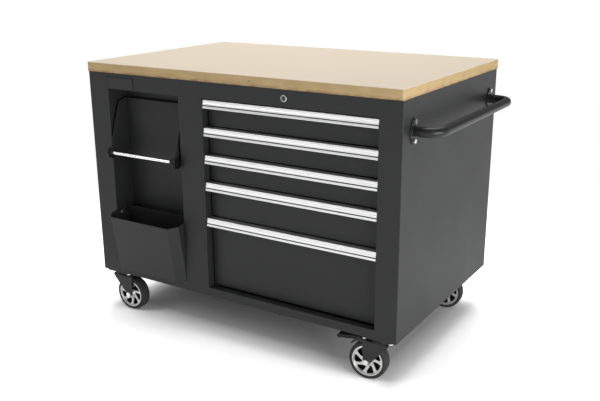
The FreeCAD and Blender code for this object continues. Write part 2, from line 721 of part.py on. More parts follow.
def make_drawer_tray(index):
    """Folded drawer: a shallow pan for the front, an open box with rolled rims behind."""
    top = drawer_top(index)
    low = top - DRAWER_PITCHES[index] + DRAWER_GAP
    x0 = BAY_LEFT + DRAWER_SIDE_GAP
    x1 = BAY_RIGHT - DRAWER_SIDE_GAP + 1.0
    wall = DRAWER_SHEET
    face_back = DRAWER_FACE_Y + DRAWER_FRONT_DEPTH
    front = block(x0, DRAWER_FACE_Y, low, x1, face_back, top)
    front = front.makeFillet(DRAWER_EDGE_R,
                             [e for e in front.Edges if abs(e.CenterOfMass.y - DRAWER_FACE_Y) < 0.01])
    front = front.cut(block(x0 + wall, DRAWER_FACE_Y + wall, low + wall, x1 - wall, face_back, top - wall))
    bx0 = RUNNER_WALL_LEFT + RUNNER_SPACE
    bx1 = RUNNER_WALL_RIGHT - RUNNER_SPACE
    floor = low + TRAY_FLOOR_RISE
    rim = top - TRAY_TOP_DROP
    back = DRAWER_FACE_Y + DRAWER_DEPTH
    box = block(bx0, face_back - wall, floor, bx1, back, rim)
    box = box.cut(block(bx0 + wall, face_back, floor + wall, bx1 - wall, back - wall, rim + 1.0))
    pieces = [front, box]
    for side in (bx0, bx1 - TRAY_LIP):
        pieces.append(block(side, face_back - wall, rim - wall, side + TRAY_LIP, back, rim))
    pieces.append(block(x0, face_back - wall, floor, x1, face_back, top - wall))
    return fuse(pieces)


def grip_spot(x, top, ahead, drop):
    return V(x, DRAWER_FACE_Y - ahead, top - drop)


def make_drawer_grip(index):
    """Extruded grip: a top plate, a hollowed and grooved face and a back leg."""
    top = drawer_top(index)
    x0 = BAY_LEFT + DRAWER_SIDE_GAP
    x1 = BAY_RIGHT - DRAWER_SIDE_GAP + 1.0

    def at(ahead, drop):
        return grip_spot(x0, top, ahead, drop)

    edges = [
        line(at(0, 0), at(24.0, 0)),
        arc(at(24.0, 0), at(25.6, 0.7), at(26.3, 2.3)),
        line(at(26.3, 2.3), at(26.7, 5.0)),
        arc(at(26.7, 5.0), at(26.2, 8.6), at(27.7, 12.0)),
        line(at(27.7, 12.0), at(28.3, 16.6)),
        line(at(28.3, 16.6), at(25.6, 17.0)),
        line(at(25.6, 17.0), at(25.7, 19.6)),
        line(at(25.7, 19.6), at(28.7, 19.9)),
        line(at(28.7, 19.9), at(29.6, 26.0)),
        arc(at(29.6, 26.0), at(29.3, 27.1), at(28.2, GRIP_HEIGHT)),
        line(at(28.2, GRIP_HEIGHT), at(24.6, GRIP_HEIGHT)),
        line(at(24.6, GRIP_HEIGHT), at(22.8, GRIP_TOP_WALL + 2.0)),
        arc(at(22.8, GRIP_TOP_WALL + 2.0), at(22.1, GRIP_TOP_WALL + 0.6), at(20.6, GRIP_TOP_WALL)),
        line(at(20.6, GRIP_TOP_WALL), at(GRIP_WALL, GRIP_TOP_WALL)),
        line(at(GRIP_WALL, GRIP_TOP_WALL), at(GRIP_WALL, GRIP_HEIGHT)),
        line(at(GRIP_WALL, GRIP_HEIGHT), at(0, GRIP_HEIGHT)),
        line(at(0, GRIP_HEIGHT), at(0, 0)),
    ]
    return outline(edges, V(x1 - x0, 0, 0))


def runner_middle(index):
    """Height of the middle of one drawer's runners."""
    low = drawer_top(index) - DRAWER_PITCHES[index] + DRAWER_GAP
    return low + TRAY_FLOOR_RISE + RUNNER_RISE + RUNNER_HEIGHT / 2.0


def runner_channel(wall_x, inward, near, far, web, half, z):
    """A channel section: flanges from near to far across the gap, web where stated."""
    def across(offset):
        return wall_x + inward * offset

    def slab(a, b, z0, z1):
        x0, x1 = sorted((across(a), across(b)))
        return block(x0, RUNNER_START_Y, z0, x1, RUNNER_START_Y + RUNNER_LENGTH, z1)

    return fuse([
        slab(web, web + RUNNER_SHEET, z - half, z + half),
        slab(near, far, z + half - RUNNER_SHEET, z + half),
        slab(near, far, z - half, z - half + RUNNER_SHEET),
    ])


def both_runners(index, near, far, web, half):
    z = runner_middle(index)
    return [runner_channel(RUNNER_WALL_LEFT, 1.0, near, far, web, half, z),
            runner_channel(RUNNER_WALL_RIGHT, -1.0, near, far, web, half, z)]


def make_fixed_rails():
    rails = []
    for index in range(len(DRAWER_PITCHES)):
        rails += both_runners(index, 0.0, 9.5, 0.0, RUNNER_HEIGHT / 2.0)
    return Part.Compound(rails)


def make_middle_rails(index):
    return Part.Compound(both_runners(index, 2.2, 11.4, 5.5, RUNNER_HEIGHT / 2.0 - 2.6))


def make_drawer(index):
    """The tray with its own inner rails fixed along the two sides."""
    inner = both_runners(index, 8.2, RUNNER_SPACE, RUNNER_SPACE - RUNNER_SHEET,
                         RUNNER_HEIGHT / 2.0 - 5.2)
    return fuse([make_drawer_tray(index)] + inner)


# Casters, drawn with the wheel's axle along y and the trail along x, then turned
def place(shape, caster):
    name, x, y, side, turn, phase, braked = caster
    shape.rotate(V(0, 0, 0), V(0, 0, 1), turn)
    shape.translate(V(x, y, 0))
    return shape


def make_caster_plate(caster):
    """Top plate with its upper race and the king pin riveted through it."""
    name, x, y, side, turn, phase, braked = caster
    low = CASTER_HEIGHT - PLATE_THICK
    half_x, half_y = PLATE_LENGTH / 2.0, PLATE_DEPTH / 2.0
    plate = block(x - half_x, y - half_y, low, x + half_x, y + half_y, CASTER_HEIGHT)
    plate = plate.makeFillet(6.0, edges_along(plate, V(0, 0, 1), lambda c: True))
    race_low = CROWN_TOP + 7.0
    race = Part.makeCone(UPPER_RACE_R, UPPER_RACE_R + 5.0, low - race_low, V(x, y, race_low))
    pin_low = CROWN_TOP - FORK_SHEET - RACE_GAP - 3.5
    pin = rod(V(x, y, pin_low), V(0, 0, 1), KINGPIN_R, race_low - pin_low + 1.0)
    head = rod(V(x, y, pin_low), V(0, 0, 1), 11.0, 3.5)
    body = fuse([plate, race, pin, head])
    for dx in (-0.5, 0.5):
        for dy in (-0.5, 0.5):
            spot = V(x + dx * PLATE_BOLT_X, y + dy * PLATE_BOLT_Y, low - 1.0)
            body = body.cut(rod(spot, V(0, 0, 1), PLATE_BOLT_R, 5.0))
    return body


def make_caster_bolts():
    bolts = []
    for x, y in plate_bolt_places():
        seat = V(x, y, CASTER_HEIGHT - PLATE_THICK)
        bolts.append(bolt(seat, V(0, 0, 1), PLATE_THICK + BASE_SHEET, PLATE_BOLT_R))
    return Part.Compound(bolts)


def fork_side_outline(side):
    """The fork seen from the side: wide at the crown, narrowing to a round nose."""
    axle_u, axle_z = TRAIL, WHEEL_R
    shoulder = CROWN_TOP - 6.0
    lead = tangent_point(axle_u, axle_z, FORK_NOSE_R, FORK_FRONT, shoulder, 1.0)
    trail = tangent_point(axle_u, axle_z, FORK_NOSE_R, FORK_BACK, shoulder, -1.0)

    def at(u, z):
        return V(side * u, -FORK_OUTER - 1.0, z)

    edges = [
        line(at(FORK_FRONT, CROWN_TOP), at(FORK_FRONT, shoulder)),
        line(at(FORK_FRONT, shoulder), at(*lead)),
        arc(at(*lead), at(axle_u, axle_z - FORK_NOSE_R), at(*trail)),
        line(at(*trail), at(FORK_BACK, shoulder)),
        line(at(FORK_BACK, shoulder), at(FORK_BACK, CROWN_TOP)),
        line(at(FORK_BACK, CROWN_TOP), at(FORK_FRONT, CROWN_TOP)),
    ]
    return outline(edges, V(0, 2.0 * FORK_OUTER + 2.0, 0))


def fork_section(side):
    """The bent sheet seen along the trail: a crown with a rounded bend down to each leg."""
    low, top, under = WHEEL_R - 2.0 * FORK_NOSE_R, CROWN_TOP, CROWN_TOP - FORK_SHEET
    bends = ((1.0, FORK_OUTER, top, FORK_BEND_R), (-1.0, FORK_INNER, under, FORK_BEND_R - FORK_SHEET))
    x0, x1 = sorted((side * FORK_FRONT, side * FORK_BACK))

    def at(v, z):
        return V(x0, v, z)

    edges = []
    for way, reach, level, bend in bends:
        soft = bend * (1.0 - math.sqrt(0.5))
        edges += [
            line(at(-way * reach, low), at(-way * reach, level - bend)),
            arc(at(-way * reach, level - bend), at(-way * (reach - soft), level - soft),
                at(-way * (reach - bend), level)),
            line(at(-way * (reach - bend), level), at(way * (reach - bend), level)),
            arc(at(way * (reach - bend), level), at(way * (reach - soft), level - soft),
                at(way * reach, level - bend)),
            line(at(way * reach, level - bend), at(way * reach, low)),
        ]
        edges.append(line(at(way * reach, low), at(way * (FORK_OUTER + FORK_INNER - reach), low)))
    return outline(edges, V(x1 - x0, 0, 0))


def brake_ear(side, v0):
    """A lug on one leg that holds the pedal's pin."""
    spot = V(side * PEDAL_PIN_U, v0, PEDAL_PIN_Z)
    x0, x1 = sorted((side * (FORK_BACK - 14.0), side * PEDAL_PIN_U))
    web = block(x0, v0, PEDAL_PIN_Z - 7.5, x1, v0 + FORK_SHEET, CROWN_TOP + 1.0)
    return [rod(spot, V(0, 1, 0), 7.5, FORK_SHEET), web]


def make_caster_fork(caster):
    """Pressed fork: crown and legs from one sheet, lower race and, with a brake, its pin."""
    name, x, y, side, turn, phase, braked = caster
    sheet = fork_section(side).common(fork_side_outline(side))
    race = Part.makeCone(LOWER_RACE_R, LOWER_RACE_R - 3.0, 7.0 - RACE_GAP, V(0, 0, CROWN_TOP))
    pieces = [sheet, race]
    if braked:
        pieces += brake_ear(side, -FORK_OUTER) + brake_ear(side, FORK_INNER)
        pin_start = V(side * PEDAL_PIN_U, -FORK_OUTER - 1.5, PEDAL_PIN_Z)
        pieces.append(rod(pin_start, V(0, 1, 0), PEDAL_PIN_R, 2.0 * FORK_OUTER + 3.0))
    fork = fuse(pieces)
    bore = rod(V(0, 0, CROWN_TOP - FORK_SHEET - 1.0), V(0, 0, 1), KINGPIN_R + RUNNING_CLEARANCE, 20.0)
    axle_hole = rod(V(side * TRAIL, -FORK_OUTER - 1.0, WHEEL_R), V(0, 1, 0), AXLE_R, 2.0 * FORK_OUTER + 2.0)
    return place(fork.cut(bore).cut(axle_hole), caster)


def make_caster_axle(caster):
    """Axle with a hexagon head at one end and a nut at the other."""
    name, x, y, side, turn, phase, braked = caster
    centre = V(side * TRAIL, 0, WHEEL_R)
    along = V(0, 1, 0)
    shank = rod(centre - along * (FORK_OUTER + 1.0), along, AXLE_R, 2.0 * FORK_OUTER + 2.0)
    head = hexagon(centre - along * (FORK_OUTER + 8.0), along, 9.5, 8.0)
    nut = hexagon(centre + along * FORK_OUTER, along, 9.5, 8.0)
    return place(fuse([shank, head, nut]), caster)


def revolved(profile):
    """Turn a half section, given as radius and offset along the axle, about the axle."""
    points = [V(radius, offset, 0) for radius, offset in profile]
    face = Part.Face(Part.makePolygon(points + [points[0]]))
    return face.revolve(V(0, 0, 0), V(0, 1, 0), 360.0)


def swirl_hole():
    """A window between two spokes: wide and round outside, swept to a point inside."""
    half = math.radians(HOLE_HALF_ANGLE)
    sweep = math.radians(HOLE_SWEEP)
    soft = HOLE_CORNER_R / HOLE_OUTER_R
    round_in = HOLE_CORNER_R * (1.0 - math.sqrt(0.5))
    corner_r = HOLE_OUTER_R - round_in
    corner_in = round_in / corner_r
    side_r = HOLE_OUTER_R - HOLE_CORNER_R

    def at(radius, angle):
        return V(radius * math.cos(angle), -TYRE_WIDTH, radius * math.sin(angle))

    edges = [
        arc(at(HOLE_OUTER_R, -half + soft), at(HOLE_OUTER_R, 0), at(HOLE_OUTER_R, half - soft)),
        arc(at(HOLE_OUTER_R, half - soft), at(corner_r, half - corner_in), at(side_r, half)),
        arc(at(side_r, half), at(HOLE_MIDDLE_R, HOLE_MIDDLE_LEAD), at(HOLE_TIP_R, sweep + 0.06)),
        line(at(HOLE_TIP_R, sweep + 0.06), at(HOLE_TIP_R, sweep - 0.10)),
        arc(at(HOLE_TIP_R, sweep - 0.10), at(HOLE_MIDDLE_R, HOLE_MIDDLE_TRAIL), at(side_r, -half)),
        arc(at(side_r, -half), at(corner_r, -half + corner_in), at(HOLE_OUTER_R, -half + soft)),
    ]
    return outline(edges, V(0, 2.0 * TYRE_WIDTH, 0))


def make_caster_rim(caster):
    """Cast rim with seven swept spokes between a deep hub and the outer ring."""
    name, x, y, side, turn, phase, braked = caster
    ring_half, web_half, hub_half = RIM_WIDTH / 2.0, WEB_WIDTH / 2.0, HUB_WIDTH / 2.0
    bore = AXLE_R + RUNNING_CLEARANCE
    profile = [
        (bore, -hub_half), (HUB_R - 3.0, -hub_half), (HUB_R, -hub_half + 3.0), (HUB_R + 1.5, -web_half),
        (RIM_INNER_R, -web_half), (RIM_INNER_R + 1.5, -ring_half), (RIM_R, -ring_half),
        (RIM_R, ring_half), (RIM_INNER_R + 1.5, ring_half), (RIM_INNER_R, web_half),
        (HUB_R + 1.5, web_half), (HUB_R, hub_half - 3.0), (HUB_R - 3.0, hub_half), (bore, hub_half),
    ]
    rim = revolved(profile)
    windows = []
    for spoke in range(SPOKES):
        window = swirl_hole()
        window.rotate(V(0, 0, 0), V(0, -1, 0), phase + 360.0 / SPOKES * spoke)
        windows.append(window)
    rim = rim.cut(Part.Compound(windows))
    rim.translate(V(side * TRAIL, 0, WHEEL_R))
    return place(rim, caster)


def make_caster_tyre(caster):
    """Rubber tyre with rounded shoulders on the rim."""
    name, x, y, side, turn, phase, braked = caster
    half = TYRE_WIDTH / 2.0
    ring_half = RIM_WIDTH / 2.0
    right = [(RIM_R, ring_half), (RIM_R + 1.2, half - 0.5), (RIM_R + 2.4, half), (RIM_R + 4.2, half),
             (RIM_R + 4.8, half - 0.6), (WHEEL_R - 5.0, half - 0.7), (WHEEL_R - 2.6, half - 1.8),
             (WHEEL_R - 0.7, half - 4.8), (WHEEL_R, half - 9.0)]
    left = [(radius, -offset) for radius, offset in reversed(right)]
    tyre = revolved(right + left)
    tyre.translate(V(side * TRAIL, 0, WHEEL_R))
    return place(tyre, caster)


def make_brake_pedal(caster):
    """Foot pedal on the fork's pin, with the shoe plate that presses on the tyre."""
    name, x, y, side, turn, phase, braked = caster
    half_root, half_tip = 15.0, 19.0

    def at(u, z):
        return V(side * u, -half_tip, z)

    tip_top, tip_low = PEDAL_PIN_Z + 1.5, PEDAL_PIN_Z - 10.0
    edges = [
        arc(at(PEDAL_PIN_U, PEDAL_PIN_Z + 6.0), at(PEDAL_PIN_U - 6.0, PEDAL_PIN_Z),
            at(PEDAL_PIN_U, PEDAL_PIN_Z - 6.0)),
        line(at(PEDAL_PIN_U, PEDAL_PIN_Z - 6.0), at(PEDAL_TIP_U - 12.0, tip_low)),
        arc(at(PEDAL_TIP_U - 12.0, tip_low), at(PEDAL_TIP_U, tip_low + 5.0), at(PEDAL_TIP_U - 8.0, tip_top)),
        arc(at(PEDAL_TIP_U - 8.0, tip_top), at(PEDAL_TIP_U - 40.0, PEDAL_PIN_Z + 3.0),
            at(PEDAL_PIN_U, PEDAL_PIN_Z + 6.0)),
    ]
    pad = outline(edges, V(0, 2.0 * half_tip, 0))
    plan = prism([V(side * (PEDAL_PIN_U - 8.0), -half_root, 0), V(side * (PEDAL_PIN_U + 30.0), -half_root, 0),
                  V(side * (PEDAL_TIP_U - 28.0), -half_tip, 0), V(side * (PEDAL_TIP_U + 5.0), -half_tip, 0),
                  V(side * (PEDAL_TIP_U + 5.0), half_tip, 0), V(side * (PEDAL_TIP_U - 28.0), half_tip, 0),
                  V(side * (PEDAL_PIN_U + 30.0), half_root, 0), V(side * (PEDAL_PIN_U - 8.0), half_root, 0)],
                 V(0, 0, 200.0))
    pad = pad.common(plan)
    shoe = prism([V(side * (PEDAL_PIN_U + 2.0), -13.0, 128.5), V(side * (PEDAL_PIN_U + 30.0), -13.0, 108.0),
                  V(side * (PEDAL_PIN_U + 33.0), -13.0, 109.5), V(side * (PEDAL_PIN_U + 12.0), -13.0, 128.5)],
                 V(0, 26.0, 0))
    bore = rod(V(side * PEDAL_PIN_U, -30.0, PEDAL_PIN_Z), V(0, 1, 0), PEDAL_PIN_R + RUNNING_CLEARANCE, 60.0)
    return place(fuse([pad, shoe]).cut(bore), caster)


def all_pieces():
    pieces = {
        "worktop": make_worktop(),
        "worktop_screws": make_worktop_screws(),
        "left_side_panel": make_side_panel(CABINET_LEFT, 1.0),
        "right_side_panel": make_right_side_panel(),
        "back_panel": make_back_panel(),
        "base_panel": make_base_panel(),
        "caster_channels": make_caster_channels(),
        "top_cover": make_top_cover(),
        "centre_divider": make_upright(RUNNER_WALL_LEFT, -1.0, BASE_TOP),
        "runner_wall": make_upright(RUNNER_WALL_RIGHT, 1.0, BASE_TOP + CHANNEL_RISE),
        "left_fascia": make_left_fascia(),
        "drawer_bay_frame": make_drawer_bay_frame(),
        "niche_liner": make_niche_liner(),
        "badge_plate": make_badge_plate(),
        "lock_housing": make_lock_housing(),
        "lock_core": make_lock_core(),
        "push_handle": make_push_handle(),
        "handle_bolts": make_handle_bolts(),
        "roll_bracket": make_roll_bracket(),
        "roll_rod": make_roll_rod(),
        "roll_knob_left": make_roll_knob(ARM_LEFT_X, -1.0),
        "roll_knob_right": make_roll_knob(ARM_RIGHT_X, 1.0),
        "waste_bin": make_waste_bin(),
        "bin_screws": make_bin_screws(),
        "fixed_rails": make_fixed_rails(),
        "caster_plates": Part.Compound([make_caster_plate(caster) for caster in CASTERS]),
        "caster_bolts": make_caster_bolts(),
    }
    for index in range(len(DRAWER_PITCHES)):
        pieces["drawer_%d_tray" % (index + 1)] = make_drawer(index)
        pieces["drawer_%d_grip" % (index + 1)] = make_drawer_grip(index)
        pieces["drawer_%d_middle_rails" % (index + 1)] = make_middle_rails(index)
    for caster in CASTERS:
        name = caster[0]
        pieces[name + "_fork"] = make_caster_fork(caster)
        pieces[name + "_axle"] = make_caster_axle(caster)
        pieces[name + "_rim"] = make_caster_rim(caster)
        pieces[name + "_tyre"] = make_caster_tyre(caster)
        if caster[6]:
            pieces[name + "_pedal"] = make_brake_pedal(caster)
    return pieces


def main():
    os.makedirs("parts", exist_ok=True)
    pieces = all_pieces()
    bounds = FreeCAD.BoundBox()
    for shape in pieces.values():
        bounds.add(shape.optimalBoundingBox(False))
    middle = V((bounds.XMin + bounds.XMax) / 2.0, (bounds.YMin + bounds.YMax) / 2.0, bounds.ZMin)
    print("frame origin in bench coordinates", round(middle.x, 3), round(middle.y, 3), round(middle.z, 3))
    for name, shape in pieces.items():
        shape.translate(V(0, 0, 0) - middle)
        if not shape.isValid():
            print("not valid:", name)
        shape.exportStep("parts/%s.step" % name)
    print(len(pieces), "pieces")


main()
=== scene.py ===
import json
import math

import bmesh
import bpy
from mathutils import Matrix, Vector


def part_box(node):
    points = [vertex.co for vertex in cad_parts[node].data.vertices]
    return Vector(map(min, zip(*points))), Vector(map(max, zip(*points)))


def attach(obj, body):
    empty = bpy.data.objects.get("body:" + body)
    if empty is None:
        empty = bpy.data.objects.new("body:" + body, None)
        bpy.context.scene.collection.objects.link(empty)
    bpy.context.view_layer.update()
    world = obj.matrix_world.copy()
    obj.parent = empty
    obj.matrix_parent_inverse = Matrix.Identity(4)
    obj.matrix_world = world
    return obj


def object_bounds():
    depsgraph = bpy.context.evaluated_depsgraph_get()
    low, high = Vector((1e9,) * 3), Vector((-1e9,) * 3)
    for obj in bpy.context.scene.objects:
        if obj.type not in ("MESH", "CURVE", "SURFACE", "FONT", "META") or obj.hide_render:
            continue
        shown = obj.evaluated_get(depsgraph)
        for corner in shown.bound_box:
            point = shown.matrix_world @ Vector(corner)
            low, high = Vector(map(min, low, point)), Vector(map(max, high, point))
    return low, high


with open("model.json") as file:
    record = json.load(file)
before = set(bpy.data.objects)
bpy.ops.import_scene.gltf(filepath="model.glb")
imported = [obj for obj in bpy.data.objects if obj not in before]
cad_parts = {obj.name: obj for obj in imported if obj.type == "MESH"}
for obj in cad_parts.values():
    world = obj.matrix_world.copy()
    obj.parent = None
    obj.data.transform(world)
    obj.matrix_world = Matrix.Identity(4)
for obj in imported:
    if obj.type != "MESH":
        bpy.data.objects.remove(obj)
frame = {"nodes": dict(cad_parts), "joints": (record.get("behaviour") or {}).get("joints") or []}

bl_info = {
    "name": "Mobile workbench finish",
    "version": (1, 0, 0),
    "blender": (4, 5, 0),
    "location": "3D View > Sidebar > Workbench",
    "description": "Dresses the packed workbench: finishes, wheels, pedals, fasteners and stage",
    "category": "Object",
}

CAD_LOW, CAD_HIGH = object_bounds()
NODES = frame["nodes"]
MM = 0.001
CORNERS = ("front_left", "front_right", "rear_left", "rear_right")
BRAKED = ("front_right", "rear_right")
DRAWER_COUNT = sum(1 for name in NODES if name.endswith("_tray"))
MIX_FIRST, MIX_SECOND, MIX_RESULT = 6, 7, 2  # the colour sockets of a Mix node
BAND_PERIOD = 0.314  # metres between the bands of a Wave texture at scale 1
BOARD_LAYER = 2.6 * MM
BEAD_LIFT = 0.3 * MM
CORE_STEPS = 64
FLOOR_SIZE = 60.0
FLOOR_DROP = 0.2 * MM
FLOOR_COLOUR = (0.80, 0.80, 0.80, 1.0)
WHITE_FROM, WHITE_TO = 1.0, 2.1  # metres from the middle over which the floor turns white
# Each lamp's name, place, target, width and height, and the setting with its power
LAMPS = (
    ("key_lamp", (-2.6, -3.0, 3.4), (0.0, 0.0, 0.4), (2.4, 2.4), "key_power"),
    ("top_lamp", (-0.3, 0.9, 3.6), (0.0, 0.0, 0.5), (3.0, 3.0), "top_power"),
    ("side_lamp", (3.0, -1.1, 0.7), (0.6, -0.2, 0.3), (2.2, 1.3), "side_power"),
    ("low_lamp", (-0.4, -3.6, 0.5), (0.0, -0.4, 0.3), (3.0, 0.9), "low_power"),
)
SHEET_METAL = ("left_side_panel", "right_side_panel", "back_panel", "base_panel", "caster_channels",
               "top_cover", "centre_divider", "runner_wall", "left_fascia", "drawer_bay_frame",
               "niche_liner", "roll_bracket", "waste_bin")


# Small helpers for node trees
class Tree:
    """Builds one material's node tree with short calls."""

    def __init__(self, name):
        self.material = bpy.data.materials.new(name)
        self.material.use_nodes = True
        self.nodes = self.material.node_tree.nodes
        self.links = self.material.node_tree.links
        self.shader = self.nodes["Principled BSDF"]
        self.coords = self.add("ShaderNodeTexCoord").outputs["Object"]

    def add(self, kind, settings=None, **sockets):
        node = self.nodes.new(kind)
        for key, value in (settings or {}).items():
            setattr(node, key, value)
        for key, value in sockets.items():
            self.feed(node.inputs[key.replace("_", " ")], value)
        return node

    def feed(self, socket, value):
        if isinstance(value, bpy.types.NodeSocket):
            self.links.new(value, socket)
        else:
            socket.default_value = value

    def noise(self, scale, detail=3.0, vector=None, stretch=None):
        source = vector or self.coords
        if stretch:
            source = self.add("ShaderNodeMapping", Vector=source, Scale=stretch).outputs["Vector"]
        node = self.add("ShaderNodeTexNoise", Vector=source, Scale=scale, Detail=detail)
        return node.outputs["Fac"]

    def ramp(self, value, low, high, out_low=0.0, out_high=1.0):
        node = self.add("ShaderNodeMapRange", Value=value)
        for socket, number in zip(("From Min", "From Max", "To Min", "To Max"),
                                  (low, high, out_low, out_high)):
            node.inputs[socket].default_value = number
        return node.outputs["Result"]

    def math(self, operation, a, b=0.0):
        node = self.nodes.new("ShaderNodeMath")
        node.operation = operation
        self.feed(node.inputs[0], a)
        self.feed(node.inputs[1], b)
        return node.outputs[0]

    def mix(self, factor, first, second):
        node = self.nodes.new("ShaderNodeMix")
        node.data_type = "RGBA"
        self.feed(node.inputs["Factor"], factor)
        self.feed(node.inputs[MIX_FIRST], first)
        self.feed(node.inputs[MIX_SECOND], second)
        return node.outputs[MIX_RESULT]

    def bump(self, height, strength, distance, normal=None):
        node = self.add("ShaderNodeBump", Height=height, Strength=strength, Distance=distance)
        if normal is not None:
            self.links.new(normal, node.inputs["Normal"])
        return node.outputs["Normal"]

    def edge(self, radius):
        """A rounded normal, and a mask that is 1 along sharp edges."""
        soft = self.add("ShaderNodeBevel", {"samples": 6}, Radius=radius).outputs["Normal"]
        plain = self.add("ShaderNodeNewGeometry").outputs["Normal"]
        dot = self.add("ShaderNodeVectorMath", {"operation": "DOT_PRODUCT"})
        self.links.new(soft, dot.inputs[0])
        self.links.new(plain, dot.inputs[1])
        mask = self.ramp(dot.outputs["Value"], 0.995, 0.86)
        return soft, mask


def rgba(colour):
    return (colour[0], colour[1], colour[2], 1.0)


def lighter(colour, factor):
    return tuple(min(1.0, part * factor) for part in colour[:3]) + (1.0,)


def powder_coat(name, colour, roughness, grain=1.0):
    """Baked powder paint: fine orange peel, faint clouding, edges rubbed paler."""
    tree = Tree(name)
    cloud = tree.noise(7.0, 4.0)
    peel = tree.noise(1150.0 / grain, 2.0)
    waves = tree.noise(260.0 / grain, 2.0)
    soft, wear = tree.edge(0.9 * MM)
    scuffs = tree.ramp(tree.noise(55.0, 6.0), 0.48, 0.70)
    worn = tree.math("MULTIPLY", wear, tree.ramp(scuffs, 0.0, 1.0, 0.25, 0.8))
    base = tree.mix(cloud, lighter(colour, 0.93), lighter(colour, 1.07))
    speck = tree.mix(tree.ramp(peel, 0.62, 0.75), base, lighter(colour, 1.25))
    tree.feed(tree.shader.inputs["Base Color"], tree.mix(worn, speck, lighter(colour, 1.9)))
    rough = tree.math("ADD", tree.ramp(peel, 0.3, 0.7, roughness - 0.05, roughness + 0.06),
                      tree.ramp(cloud, 0.3, 0.7, -0.02, 0.03))
    tree.feed(tree.shader.inputs["Roughness"], rough)
    first = tree.bump(waves, 0.10, 0.25 * MM, soft)
    tree.feed(tree.shader.inputs["Normal"], tree.bump(peel, 0.22, 0.06 * MM, first))
    tree.shader.inputs["Specular IOR Level"].default_value = 0.34
    return tree.material


def board_top(name, face_colour, edge_colour, stain_colour):
    """Pressed board: a pale smooth face over a tan edge with faint layers and pores."""
    tree = Tree(name)
    split = tree.add("ShaderNodeSeparateXYZ", Vector=tree.coords)
    normal = tree.add("ShaderNodeSeparateXYZ", Vector=tree.add("ShaderNodeNewGeometry").outputs["Normal"])
    top = tree.ramp(normal.outputs["Z"], 0.45, 0.60)
    fibres = tree.noise(9.0, 5.0, stretch=(6.0, 60.0, 1.0))
    mottle = tree.noise(420.0, 3.0)
    cloud = tree.noise(3.2, 3.0)
    face = tree.mix(tree.ramp(cloud, 0.35, 0.65), lighter(face_colour, 0.975), rgba(face_colour))
    face = tree.mix(tree.ramp(fibres, 0.35, 0.75, 0.0, 0.30), face, lighter(face_colour, 0.93))
    face = tree.mix(tree.ramp(mottle, 0.60, 0.78, 0.0, 0.35), face, lighter(face_colour, 0.86))
    layers = tree.add("ShaderNodeTexWave", {"wave_type": "BANDS", "bands_direction": "Z"},
                      Vector=tree.coords, Scale=BAND_PERIOD / BOARD_LAYER, Distortion=1.6, Detail=3.0)
    layers.inputs["Detail Scale"].default_value = 0.25
    grit = tree.noise(650.0, 4.0, stretch=(0.25, 0.25, 1.6))
    drift = tree.noise(16.0, 4.0, stretch=(1.0, 1.0, 3.0))
    edge = tree.mix(tree.ramp(drift, 0.3, 0.7), lighter(edge_colour, 0.88), lighter(edge_colour, 1.10))
    edge = tree.mix(tree.ramp(layers.outputs["Fac"], 0.1, 0.5, 0.30, 0.0), edge, lighter(edge_colour, 0.72))
    edge = tree.mix(tree.ramp(grit, 0.58, 0.72, 0.0, 0.7), edge, lighter(edge_colour, 0.62))
    pores = tree.ramp(tree.noise(95.0, 2.0, stretch=(0.4, 0.4, 1.0)), 0.74, 0.78)
    edge = tree.mix(tree.math("MULTIPLY", pores, 0.8), edge, lighter(edge_colour, 0.30))
    low_z, top_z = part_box("worktop")[0][2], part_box("worktop")[1][2]
    stain = tree.ramp(split.outputs["Z"], low_z + 9.0 * MM, low_z + 1.0 * MM)
    patches = tree.ramp(tree.noise(34.0, 5.0, stretch=(1.0, 1.0, 2.5)), 0.42, 0.66, 0.15, 0.85)
    edge = tree.mix(tree.math("MULTIPLY", stain, patches), edge, rgba(stain_colour))
    seam = tree.ramp(split.outputs["Z"], top_z - 2.6 * MM, top_z - 1.2 * MM)
    edge = tree.mix(tree.math("MULTIPLY", seam, 0.55), edge, lighter(edge_colour, 0.55))
    tree.feed(tree.shader.inputs["Base Color"], tree.mix(top, edge, face))
    tree.feed(tree.shader.inputs["Roughness"], tree.ramp(top, 0.0, 1.0, 0.72, 0.46))
    height = tree.math("ADD", tree.math("MULTIPLY", grit, 0.6), tree.math("MULTIPLY", mottle, 0.25))
    tree.feed(tree.shader.inputs["Normal"], tree.bump(height, 0.18, 0.12 * MM))
    tree.shader.inputs["Specular IOR Level"].default_value = 0.35
    return tree.material


def metal(name, colour, roughness, grain_scale, stretch, streak=0.06, tarnish=0.25):
    """Bare or plated metal with drawn or tumbled grain and faint tarnish."""
    tree = Tree(name)
    grain = tree.noise(grain_scale, 4.0, stretch=stretch)
    blotch = tree.noise(38.0, 4.0, stretch=stretch)
    soft, wear = tree.edge(0.45 * MM)
    base = tree.mix(tree.ramp(grain, 0.3, 0.7), lighter(colour, 1.0 - streak), lighter(colour, 1.0 + streak))
    base = tree.mix(tree.ramp(blotch, 0.55, 0.8, 0.0, tarnish), base, lighter(colour, 0.82))
    tree.feed(tree.shader.inputs["Base Color"], tree.mix(wear, base, lighter(colour, 1.12)))
    tree.shader.inputs["Metallic"].default_value = 1.0
    rough = tree.math("ADD", tree.ramp(grain, 0.3, 0.7, roughness - 0.04, roughness + 0.05),
                      tree.ramp(blotch, 0.4, 0.8, 0.0, 0.06))
    tree.feed(tree.shader.inputs["Roughness"], rough)
    tree.feed(tree.shader.inputs["Normal"], tree.bump(grain, 0.12, 0.05 * MM, soft))
    return tree.material


